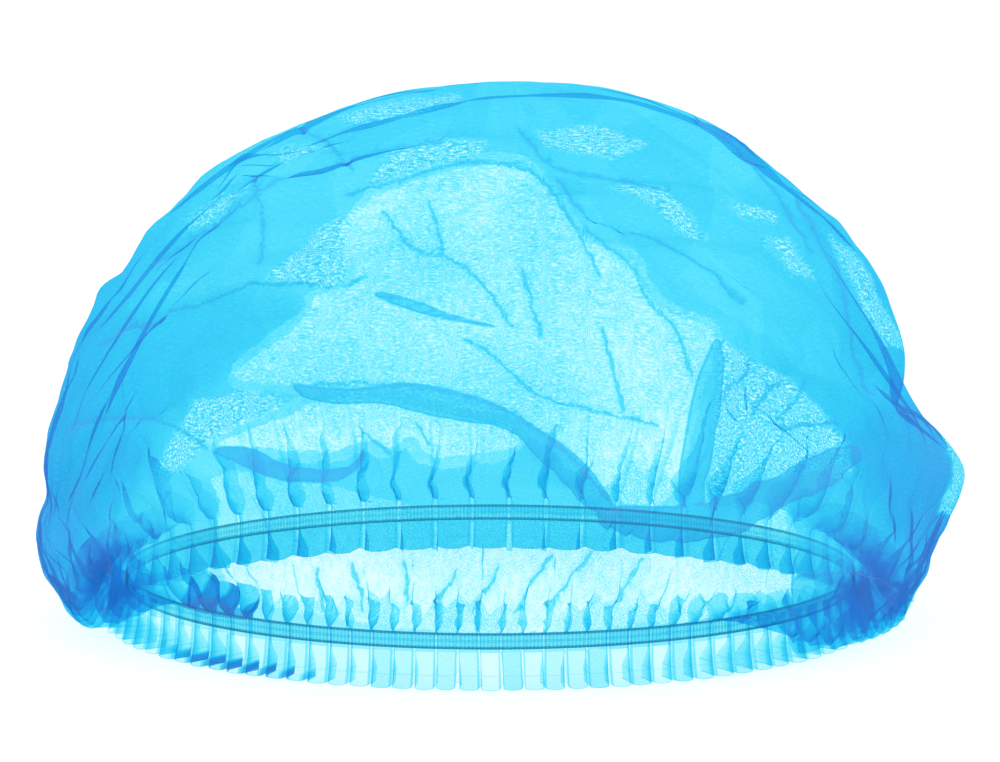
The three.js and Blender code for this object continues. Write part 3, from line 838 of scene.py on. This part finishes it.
def calculate(tree, operation, first, second=0.0, clamp=False):
    node = addNode(tree, "ShaderNodeMath", {0: first, 1: second}, operation=operation, use_clamp=clamp)
    return node.outputs[0]


def vectorNode(tree, operation, first, second=(0.0, 0.0, 0.0)):
    return addNode(tree, "ShaderNodeVectorMath", {0: first, 1: second}, operation=operation)


def attributeOf(tree, name):
    return addNode(tree, "ShaderNodeAttribute", attribute_name=name).outputs["Fac"]


# 1 inside an edge and 0 outside it, over so many millimetres
def edgeMask(tree, distance, over):
    return calculate(tree, "ADD", calculate(tree, "DIVIDE", distance, over), 0.5, True)


def blended(tree, share, first, second):
    node = addNode(tree, "ShaderNodeMix", {0: share, 2: first, 3: second}, data_type="FLOAT")
    return node.outputs[0]


# Fibres laid at random and pressed together, with a grid of bond points
def makeNonwovenGroup():
    group = bpy.data.node_groups.new("nonwovenFibres", "ShaderNodeTree")
    socket = group.interface.new_socket
    socket("Place", in_out="INPUT", socket_type="NodeSocketVector")
    for name, value in (("Fibre Size", 0.7), ("Clump Size", 4.0), ("Bond Pitch", 1.7)):
        socket(name, in_out="INPUT", socket_type="NodeSocketFloat").default_value = value
    for name in ("Fibres", "Clumps", "Bonds"):
        socket(name, in_out="OUTPUT", socket_type="NodeSocketFloat")
    given = addNode(group, "NodeGroupInput")
    result = addNode(group, "NodeGroupOutput")

    def scaled(size):
        node = vectorNode(group, "SCALE", given.outputs["Place"])
        group.links.new(calculate(group, "DIVIDE", 1.0, size), node.inputs["Scale"])
        return node.outputs[0]

    def noise(size, detail, roughness):
        node = addNode(group, "ShaderNodeTexNoise", {"Vector": scaled(given.outputs[size]), "Scale": 1.0,
                                                     "Detail": detail, "Roughness": roughness},
                       noise_dimensions="2D")
        return node.outputs["Fac"]

    cell = vectorNode(group, "FRACTION", scaled(given.outputs["Bond Pitch"])).outputs[0]
    middle = vectorNode(group, "SUBTRACT", cell, (0.5, 0.5, 0.0)).outputs[0]
    apart = vectorNode(group, "LENGTH", middle).outputs["Value"]
    bonds = calculate(group, "SUBTRACT", 1.0, calculate(group, "DIVIDE", apart, 0.30), True)
    group.links.new(noise("Fibre Size", 2.0, 0.65), result.inputs["Fibres"])
    group.links.new(noise("Clump Size", 1.0, 0.6), result.inputs["Clumps"])
    group.links.new(bonds, result.inputs["Bonds"])
    return group


nonwovenFibres = makeNonwovenGroup()

sheer = {
    "onePasses": (0.60, 0.935, 0.985),    # light through one layer, by colour
    "oneCovers": 0.027,                   # share of the light that one layer scatters
    "scattered": (0.22, 0.54, 0.88, 1),   # what a thick heap of it looks like
    "shadowPasses": (0.55, 0.93, 0.98, 1),
    "edgeOnLeast": 0.25,
    "edgeOnPower": 0.16,
    "bump": 0.5,                          # the bond points are pressed in
    "bondDeep": 0.0004,
    "mapMillimetres": 1000.0 * cut["uvAcross"],
}


# Place on the flat cloth in millimetres, and the fibres there
def clothFibres(tree, fibreSize, clumpSize):
    uv = addNode(tree, "ShaderNodeUVMap", uv_map="cloth").outputs[0]
    flat = vectorNode(tree, "MULTIPLY", uv, (sheer["mapMillimetres"],) * 3)
    group = addNode(tree, "ShaderNodeGroup", node_tree=nonwovenFibres)
    tree.links.new(flat.outputs[0], group.inputs["Place"])
    group.inputs["Fibre Size"].default_value = fibreSize
    group.inputs["Clump Size"].default_value = clumpSize
    return group.outputs


# Tinted see-through cloth: the more layers, the less light passes and the more is scattered
def finishSheer(tree, layers, bonds):
    facing = addNode(tree, "ShaderNodeLayerWeight", {"Blend": 0.5}).outputs["Facing"]
    squareOn = calculate(tree, "MAXIMUM", calculate(tree, "SUBTRACT", 1.0, facing), sheer["edgeOnLeast"])
    thick = calculate(tree, "DIVIDE", layers, calculate(tree, "POWER", squareOn, sheer["edgeOnPower"]))
    passes = addNode(tree, "ShaderNodeCombineColor")
    for channel, one in zip(("Red", "Green", "Blue"), sheer["onePasses"]):
        tree.links.new(calculate(tree, "POWER", one, thick), passes.inputs[channel])
    covers = calculate(tree, "MULTIPLY", thick, sheer["oneCovers"], True)
    bump = addNode(tree, "ShaderNodeBump", {"Strength": sheer["bump"], "Distance": sheer["bondDeep"],
                                            "Height": bonds}, invert=True)
    seeThrough = addNode(tree, "ShaderNodeBsdfTransparent", {"Color": passes.outputs[0]})
    body = addNode(tree, "ShaderNodeBsdfPrincipled", {"Base Color": sheer["scattered"], "Roughness": 0.62,
                                                      "Specular IOR Level": 0.0, "Normal": bump.outputs[0]})
    lit = addNode(tree, "ShaderNodeMixShader", {0: covers, 1: seeThrough.outputs[0], 2: body.outputs[0]})
    shade = addNode(tree, "ShaderNodeBsdfTransparent", {"Color": sheer["shadowPasses"]})
    path = addNode(tree, "ShaderNodeLightPath").outputs
    indirect = calculate(tree, "MAXIMUM", path["Is Shadow Ray"], path["Is Diffuse Ray"])
    mix = addNode(tree, "ShaderNodeMixShader", {0: indirect, 1: lit.outputs[0], 2: shade.outputs[0]})
    surface = addNode(tree, "ShaderNodeOutputMaterial")
    tree.links.new(mix.outputs[0], surface.inputs["Surface"])


def newMaterial(name):
    material = bpy.data.materials.new(name)
    material.use_nodes = True
    material.node_tree.nodes.clear()
    return material, material.node_tree


crownLook = {
    "fibreSize": 0.75,
    "clumpSize": 4.5,
    "wander": 2.2,           # millimetres that the edge of a pale panel strays
    "paleOver": 0.3,         # and over which the edges of panels, windows and strips fade
    "windowOver": 1.2,
    "stripOver": 0.3,
    "leastPanel": 0.4,
    "speckleAt": 0.50,
    "speckleOver": 0.10,
    "windowLayers": (1.2, 1.5),     # least, and what its speckles add
    "overlapLayers": 0.55,
    "variation": 0.34,       # how much the pale panels vary by broad patches and by crumples
    "crumple": 1.5,
    "creaseShadeLayers": 3.0,       # painted shade along the creases and along the borders of the strips
    "borderHalf": 0.30,
    "lineHalf": 0.46,
    "lineStray": 2.2,
    "besideLayers": 0.6,     # the soft shade beside a crease
    "besideReach": 2.4,
    "tuckThins": 0.65,
    # painted shade at the mouths of the tucks
    "mouthShadeLayers": 1.7,
    "denseMottle": (0.73, 0.54),    # share of its layers without fibres, and what the fibres add
    "paleMottle": (-0.80, 3.60),
    "bondClear": 0.25,
}


def makeCrownMaterial():
    material, tree = newMaterial("crownNonwoven")
    fibres = clothFibres(tree, crownLook["fibreSize"], crownLook["clumpSize"])
    rough = calculate(tree, "SUBTRACT", fibres["Clumps"], 0.5)
    wander = calculate(tree, "MULTIPLY", rough, crownLook["wander"])
    inPale = calculate(tree, "ADD", attributeOf(tree, "paleEdge"), wander)
    inWindow = calculate(tree, "ADD", attributeOf(tree, "windowEdge"), wander)
    pale = edgeMask(tree, inPale, crownLook["paleOver"])
    window = edgeMask(tree, inWindow, crownLook["windowOver"])
    ragged = calculate(tree, "MULTIPLY", rough, 0.25)
    overlap = edgeMask(tree, calculate(tree, "ADD", attributeOf(tree, "overlap"), ragged), 0.05)
    stripEdge = attributeOf(tree, "stripEdge")
    strip = edgeMask(tree, stripEdge, crownLook["stripOver"])
    # A thin line of painted shade along the border of each strip
    fromEdge = calculate(tree, "ABSOLUTE", stripEdge)
    inBorder = calculate(tree, "SUBTRACT", crownLook["borderHalf"], fromEdge)
    borderShade = edgeMask(tree, inBorder, crownLook["stripOver"])
    # Painted shade along each crease, wandering a little, and a softer painted shade beside it
    stray = calculate(tree, "MULTIPLY", rough, crownLook["lineStray"])
    beside = calculate(tree, "ABSOLUTE", calculate(tree, "ADD", attributeOf(tree, "creaseSide"), stray))
    creaseShade = edgeMask(tree, calculate(tree, "SUBTRACT", crownLook["lineHalf"], beside), 0.5)
    away = attributeOf(tree, "creaseAway")
    near = edgeMask(tree, calculate(tree, "SUBTRACT", 1.0, away), 0.8)
    besideReach = crownLook["besideReach"]
    shade = edgeMask(tree, calculate(tree, "SUBTRACT", besideReach / 2, away), besideReach)
    creaseShade = calculate(tree, "MULTIPLY", creaseShade, near)
    creaseShade = calculate(tree, "MULTIPLY", creaseShade, calculate(tree, "MULTIPLY", fibres["Fibres"], 2.0))
    speckled = calculate(tree, "SUBTRACT", fibres["Fibres"], crownLook["speckleAt"])
    speckle = edgeMask(tree, speckled, crownLook["speckleOver"])
    dense = calculate(tree, "ADD", attributeOf(tree, "layers"),
                      calculate(tree, "MULTIPLY", overlap, crownLook["overlapLayers"]))
    least, most = crownLook["windowLayers"]
    windowLayers = calculate(tree, "ADD", least, calculate(tree, "MULTIPLY", speckle, most))
    thin = calculate(tree, "MAXIMUM", pale, window)
    layers = blended(tree, window, dense, windowLayers)
    varied = calculate(tree, "MULTIPLY", attributeOf(tree, "overlap"), crownLook["variation"])
    varied = calculate(tree, "ADD", varied, calculate(tree, "MULTIPLY", rough, crownLook["crumple"]))
    gather = edgeMask(tree, attributeOf(tree, "gather"), 0.6)
    panel = calculate(tree, "ADD", attributeOf(tree, "panelLayers"), varied)
    gathered = calculate(tree, "MULTIPLY", gather, attributeOf(tree, "gatherAndShadeLayers"))
    panel = calculate(tree, "ADD", panel, gathered)
    layers = blended(tree, pale, layers, calculate(tree, "MAXIMUM", panel, crownLook["leastPanel"]))
    thinned = calculate(tree, "MULTIPLY", attributeOf(tree, "tuck"), crownLook["tuckThins"])
    layers = calculate(tree, "MULTIPLY", layers, calculate(tree, "SUBTRACT", 1.0, thinned))
    ends = zip(crownLook["denseMottle"], crownLook["paleMottle"])
    leastMottle, mostMottle = [blended(tree, thin, dense, clear) for dense, clear in ends]
    mottle = calculate(tree, "ADD", leastMottle, calculate(tree, "MULTIPLY", fibres["Fibres"], mostMottle))
    bonds = calculate(tree, "MULTIPLY", fibres["Bonds"], crownLook["bondClear"])
    mottle = calculate(tree, "SUBTRACT", mottle, bonds)
    layers = calculate(tree, "MULTIPLY", layers, mottle)
    # Layers added on top: the strips (folded cloth, and painted shade for the slit and the patch), then
    # painted shade on creases, strip borders, beside creases and at the tuck mouths
    for mask, amount in ((strip, attributeOf(tree, "stripLayers")),
                         (calculate(tree, "MAXIMUM", borderShade, creaseShade), crownLook["creaseShadeLayers"]),
                         (shade, crownLook["besideLayers"]),
                         (attributeOf(tree, "mouthShade"), crownLook["mouthShadeLayers"])):
        layers = calculate(tree, "ADD", layers, calculate(tree, "MULTIPLY", mask, amount))
    finishSheer(tree, layers, fibres["Bonds"])
    return material


ruffleLook = {
    "fibreSize": 0.7,
    "clumpSize": 3.0,
    "hemAt": 0.975,
    "seamAt": 0.62,          # where the folded edge of the hem ends
    "tuckThins": 0.6,
    "mottle": (0.35, 1.3),   # share of its layers without fibres, and what the fibres add
    "hemLayers": 1.0,
    "seamLayers": 0.45,
    # painted shade at the mouths of the tucks
    "mouthShadeLayers": 2.2,
    # painted shade on the hem's tips
    "tipShadeLayers": 12.0,
}


def makeRuffleMaterial():
    material, tree = newMaterial("ruffleNonwoven")
    fibres = clothFibres(tree, ruffleLook["fibreSize"], ruffleLook["clumpSize"])
    down = attributeOf(tree, "hem")
    hem = edgeMask(tree, calculate(tree, "SUBTRACT", down, ruffleLook["hemAt"]), 0.02)
    fromSeam = calculate(tree, "ABSOLUTE", calculate(tree, "SUBTRACT", down, ruffleLook["seamAt"]))
    seam = edgeMask(tree, calculate(tree, "SUBTRACT", 0.02, fromSeam), 0.02)
    strip = edgeMask(tree, attributeOf(tree, "stripEdge"), 0.3)
    least, most = ruffleLook["mottle"]
    mottle = calculate(tree, "ADD", least, calculate(tree, "MULTIPLY", fibres["Fibres"], most))
    thinned = calculate(tree, "MULTIPLY", attributeOf(tree, "tuck"), ruffleLook["tuckThins"])
    layers = calculate(tree, "MULTIPLY", attributeOf(tree, "layers"), mottle)
    layers = calculate(tree, "MULTIPLY", layers, calculate(tree, "SUBTRACT", 1.0, thinned))
    for mask, amount in ((hem, ruffleLook["hemLayers"]), (seam, ruffleLook["seamLayers"]),
                         (attributeOf(tree, "mouthShade"), ruffleLook["mouthShadeLayers"]),
                         (strip, attributeOf(tree, "stripLayers")),
                         (attributeOf(tree, "tipShade"), ruffleLook["tipShadeLayers"])):
        layers = calculate(tree, "ADD", layers, calculate(tree, "MULTIPLY", mask, amount))
    finishSheer(tree, layers, fibres["Bonds"])
    return material


elasticLook = {
    "thread": (0.18, 0.82, 0.95, 1),
    "worn": (0.28, 0.91, 0.98, 1),
    "edge": (0.03, 0.46, 0.68, 1),
    "edgeShare": 0.36,       # from the middle of the tape to its darker edge cords, as a share of its height
    "passes": (0.80, 0.97, 0.995, 1),
    "seeThrough": 0.90,
    "edgeCovers": 0.26,
    "endsOpen": 0.08,        # more open where it is stretched most, at the ends of the rim
    "endsFrom": 0.84,        # in shares of the rim's half width
    "endsOver": 0.2,
    "fibreSize": 0.35,
    "clumpSize": 2.5,
}


def makeElasticMaterial():
    material, tree = newMaterial("elasticBraid")
    placeHere = addNode(tree, "ShaderNodeTexCoord").outputs["Object"]
    millimetres = vectorNode(tree, "MULTIPLY", placeHere, (1000.0,) * 3)
    group = addNode(tree, "ShaderNodeGroup", node_tree=nonwovenFibres)
    tree.links.new(millimetres.outputs[0], group.inputs["Place"])
    group.inputs["Fibre Size"].default_value = elasticLook["fibreSize"]
    group.inputs["Clump Size"].default_value = elasticLook["clumpSize"]
    colour = addNode(tree, "ShaderNodeMix", {0: group.outputs["Clumps"], 6: elasticLook["thread"],
                                             7: elasticLook["worn"]}, data_type="RGBA")
    apart = addNode(tree, "ShaderNodeSeparateXYZ", {0: placeHere}).outputs
    fromMiddle = calculate(tree, "ABSOLUTE", calculate(tree, "SUBTRACT", apart["Z"], rimMiddle.z))
    sideways = calculate(tree, "ABSOLUTE", calculate(tree, "SUBTRACT", apart["X"], rimMiddle.x))
    endsFrom, endsOver = elasticLook["endsFrom"] * rimWide, elasticLook["endsOver"] * rimWide
    atEnd = edgeMask(tree, calculate(tree, "SUBTRACT", sideways, endsFrom), endsOver)
    edgeAt = elasticLook["edgeShare"] * (bandHigh.z - bandLow.z)
    atEdge = edgeMask(tree, calculate(tree, "SUBTRACT", fromMiddle, edgeAt), 0.0002)
    colour = addNode(tree, "ShaderNodeMix", {0: atEdge, 6: colour.outputs[2], 7: elasticLook["edge"]},
                     data_type="RGBA")
    roughness = calculate(tree, "ADD", 0.5, calculate(tree, "MULTIPLY", group.outputs["Fibres"], 0.3))
    bump = addNode(tree, "ShaderNodeBump", {"Strength": 0.5, "Distance": 0.0001,
                                            "Height": group.outputs["Fibres"]})
    body = addNode(tree, "ShaderNodeBsdfPrincipled", {"Base Color": colour.outputs[2], "Roughness": roughness,
                                                      "Normal": bump.outputs[0]})
    gaps = addNode(tree, "ShaderNodeBsdfTransparent", {"Color": elasticLook["passes"]})
    covered = calculate(tree, "MULTIPLY", atEdge, elasticLook["edgeCovers"])
    covered = calculate(tree, "MULTIPLY", covered, calculate(tree, "SUBTRACT", 1.0, atEnd))
    opened = calculate(tree, "MULTIPLY", atEnd, elasticLook["endsOpen"])
    openness = calculate(tree, "SUBTRACT", calculate(tree, "ADD", elasticLook["seeThrough"], opened), covered)
    mix = addNode(tree, "ShaderNodeMixShader", {0: openness, 1: body.outputs[0], 2: gaps.outputs[0]})
    surface = addNode(tree, "ShaderNodeOutputMaterial")
    tree.links.new(mix.outputs[0], surface.inputs["Surface"])
    return material


crown.data.materials.append(makeCrownMaterial())
crown.visible_shadow = False     # so sheer that it throws no shadow worth seeing
ruffle.data.materials.append(makeRuffleMaterial())
elasticBraid = makeElasticMaterial()

# Elastic: a narrow tape with upright ribs and a cord along each edge and its middle
elastic = {
    "height": bandHigh.z - bandLow.z,
    "tapeThick": 0.00045,
    "ribPitch": 0.00105,
    "ribAcross": 0.00052,
    "cordAcross": 0.00085,
    "ringPoints": 320,
    "middleInset": 0.0005,      # from the elastic's outside to the middle of the tape
}


def makeElasticTree():
    tree = bpy.data.node_groups.new("ribbedElastic", "GeometryNodeTree")
    socket = tree.interface.new_socket
    socket("Ring", in_out="INPUT", socket_type="NodeSocketGeometry")
    for name in ("Height", "Tape Thick", "Rib Pitch", "Rib Across", "Cord Across"):
        socket(name, in_out="INPUT", socket_type="NodeSocketFloat")
    socket("Finish", in_out="INPUT", socket_type="NodeSocketMaterial")
    socket("Elastic", in_out="OUTPUT", socket_type="NodeSocketGeometry")
    given = addNode(tree, "NodeGroupInput").outputs
    line = addNode(tree, "GeometryNodeMeshToCurve", {"Mesh": given["Ring"]}).outputs[0]
    line = addNode(tree, "GeometryNodeSetCurveNormal", {"Curve": line}, mode="Z_UP").outputs[0]
    joined = addNode(tree, "GeometryNodeJoinGeometry")

    tapeSection = addNode(tree, "GeometryNodeCurvePrimitiveQuadrilateral",
                          {"Width": given["Tape Thick"], "Height": given["Height"]})
    tape = addNode(tree, "GeometryNodeCurveToMesh", {"Curve": line, "Profile Curve": tapeSection.outputs[0]})
    tree.links.new(tape.outputs[0], joined.inputs[0])

    marks = addNode(tree, "GeometryNodeCurveToPoints", {"Curve": line, "Length": given["Rib Pitch"]},
                    mode="LENGTH")
    radius = calculate(tree, "MULTIPLY", given["Rib Across"], 0.5)
    rib = addNode(tree, "GeometryNodeMeshCylinder",
                  {"Vertices": 6, "Radius": radius, "Depth": given["Height"]}).outputs[0]
    ribs = addNode(tree, "GeometryNodeInstanceOnPoints", {"Points": marks.outputs[0], "Instance": rib})
    realRibs = addNode(tree, "GeometryNodeRealizeInstances", {"Geometry": ribs.outputs[0]})
    tree.links.new(realRibs.outputs[0], joined.inputs[0])

    cordRadius = calculate(tree, "MULTIPLY", given["Cord Across"], 0.5)
    cordSection = addNode(tree, "GeometryNodeCurvePrimitiveCircle", {"Resolution": 7, "Radius": cordRadius})
    spare = calculate(tree, "SUBTRACT", given["Height"], given["Cord Across"])
    for side in (0.5, 0.0, -0.5):
        rise = calculate(tree, "MULTIPLY", spare, side)
        move = addNode(tree, "ShaderNodeCombineXYZ", {"Z": rise}).outputs[0]
        moved = addNode(tree, "GeometryNodeTransform", {"Geometry": line, "Translation": move}).outputs[0]
        cord = addNode(tree, "GeometryNodeCurveToMesh",
                       {"Curve": moved, "Profile Curve": cordSection.outputs[0]})
        tree.links.new(cord.outputs[0], joined.inputs[0])
    real = addNode(tree, "GeometryNodeRealizeInstances", {"Geometry": joined.outputs[0]})
    done = addNode(tree, "GeometryNodeSetMaterial",
                   {"Geometry": real.outputs[0], "Material": given["Finish"]})
    result = addNode(tree, "NodeGroupOutput")
    tree.links.new(done.outputs[0], result.inputs["Elastic"])
    return tree


# Runs a geometry tree on a mesh and keeps the result as a plain mesh
def grown(name, source, tree, values):
    holder = bpy.data.objects.new(name, source)
    bpy.context.scene.collection.objects.link(holder)
    modifier = holder.modifiers.new("grow", "NODES")
    modifier.node_group = tree
    for item in tree.interface.items_tree:
        if item.in_out == "INPUT" and item.name in values:
            modifier[item.identifier] = values[item.name]
    evaluated = holder.evaluated_get(bpy.context.evaluated_depsgraph_get())
    mesh = bpy.data.meshes.new_from_object(evaluated)
    holder.modifiers.clear()
    holder.data = mesh
    print("cap:", name, len(mesh.polygons), "faces")
    return holder


ringTurn = np.linspace(0, 2 * math.pi, elastic["ringPoints"], endpoint=False)
bandInset = capShape["clothToElastic"] + elastic["middleInset"]
ringPoints = rimPoint(ringTurn, -bandInset, rimMiddle.z)
ring = bpy.data.meshes.new("elasticRing")
ring.from_pydata(ringPoints.tolist(), [(i, (i + 1) % len(ringPoints)) for i in range(len(ringPoints))], [])
band = grown("elastic_tape", ring, makeElasticTree(), {
    "Height": elastic["height"], "Tape Thick": elastic["tapeThick"], "Rib Pitch": elastic["ribPitch"],
    "Rib Across": elastic["ribAcross"], "Cord Across": elastic["cordAcross"], "Finish": elasticBraid})

# The lapped ends of the elastic: a soft tab with rounded edges, pinched where it is welded
tab = {
    "cuts": 9,
    "pinch": 0.25,
    "pinchReach": 0.22,         # in shares of half the tab's length
    "endsRound": 0.12,
    "edgesRound": 0.10,
    "ripple": 0.00022,
    "rippleTurns": 17,
}


def makeTab():
    made = bmesh.new()
    bmesh.ops.create_cube(made, size=1.0)
    size, middle = tagHigh - tagLow, (tagHigh + tagLow) / 2
    bmesh.ops.subdivide_edges(made, edges=made.edges[:], cuts=tab["cuts"], use_grid_fill=True)
    for vertex in made.verts:
        along, up = vertex.co.y * 2, vertex.co.z * 2
        pinch = 1 - tab["pinch"] * math.exp(-(along / tab["pinchReach"]) ** 2)
        soft = 1 - tab["endsRound"] * abs(along) ** 6 - tab["edgesRound"] * abs(up) ** 6
        ripple = tab["ripple"] * math.sin(along * tab["rippleTurns"]) * (1 - abs(up) ** 4)
        ripple *= 1 if vertex.co.x > 0 else 0.4
        vertex.co = Vector((middle.x + vertex.co.x * size.x * pinch + ripple,
                            middle.y + vertex.co.y * size.y * soft,
                            middle.z + vertex.co.z * size.z * soft))
    mesh = bpy.data.meshes.new("elastic_tab")
    made.to_mesh(mesh)
    made.free()
    mesh.polygons.foreach_set("use_smooth", np.ones(len(mesh.polygons), bool))
    mesh.materials.append(elasticBraid)
    piece = bpy.data.objects.new("elastic_tab", mesh)
    bpy.context.scene.collection.objects.link(piece)
    return piece


tag = makeTab()
print("cap: elastic made")

for piece, node, slotName in ((crown, "crown", "nonwoven"), (ruffle, "ruffle", "nonwoven_frill"),
                              (band, "elastic_band", "elastic"), (tag, "elastic_joint", "elastic")):
    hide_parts(node)
    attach(piece, "root")

# Floor, lights and camera
studio = {
    "floorHalf": 5.0,
    "floorGlow": 0.665,
    "floorColour": (0.34, 0.34, 0.34, 1),
    "world": 0.95,
    "lights": [
        {"name": "keyLight", "at": (-0.9, -1.0, 1.5), "across": 0.9, "power": 9.0},
        {"name": "fillLight", "at": (1.3, -0.7, 0.9), "across": 1.1, "power": 4.0},
        {"name": "backLight", "at": (0.3, 1.4, 1.2), "across": 1.0, "power": 6.0},
    ],
}


def makeFloor():
    half = studio["floorHalf"]
    mesh = bpy.data.meshes.new("floor")
    corners = [(-half, -half, 0), (half, -half, 0), (half, half, 0), (-half, half, 0)]
    mesh.from_pydata(corners, [], [(0, 1, 2, 3)])
    material, tree = newMaterial("paleFloor")
    body = addNode(tree, "ShaderNodeBsdfPrincipled", {"Base Color": studio["floorColour"], "Roughness": 1.0,
                                                      "Specular IOR Level": 0.0,
                                                      "Emission Color": (1, 1, 1, 1),
                                                      "Emission Strength": studio["floorGlow"]})
    surface = addNode(tree, "ShaderNodeOutputMaterial")
    tree.links.new(body.outputs[0], surface.inputs["Surface"])
    mesh.materials.append(material)
    floor = bpy.data.objects.new("floor", mesh)
    bpy.context.scene.collection.objects.link(floor)


def aimedAt(thing, position, target):
    thing.location = Vector(position)
    thing.rotation_euler = (Vector(target) - Vector(position)).to_track_quat("-Z", "Y").to_euler()


def makeLight(name, position, size, power):
    light = bpy.data.lights.new(name, "AREA")
    light.shape = "DISK"
    light.size = size
    light.energy = power
    thing = bpy.data.objects.new(name, light)
    bpy.context.scene.collection.objects.link(thing)
    aimedAt(thing, position, (0, 0, view["aimHeight"]))


makeFloor()
for light in studio["lights"]:
    makeLight(light["name"], light["at"], light["across"], light["power"])
world = bpy.data.worlds.new("studio")
world.use_nodes = True
world.node_tree.nodes["Background"].inputs["Color"].default_value = (1, 1, 1, 1)
world.node_tree.nodes["Background"].inputs["Strength"].default_value = studio["world"]
scene = bpy.context.scene
scene.world = world
scene.view_settings.view_transform = "Standard"
scene.cycles.transparent_max_bounces = 32
scene.cycles.max_bounces = 2
scene.cycles.diffuse_bounces = 0

camera = bpy.data.objects.new("camera", bpy.data.cameras.new("camera"))
scene.collection.objects.link(camera)
camera.data.lens = view["lens"]
camera.data.sensor_width = view["sensor"]
camera.data.clip_end = 20
fromFront, raised = view["distance"] * math.cos(tilt), view["distance"] * math.sin(tilt)
aimedAt(camera, (0, -fromFront, view["aimHeight"] + raised), (0, 0, view["aimHeight"]))
scene.camera = camera
print("cap: stage set")
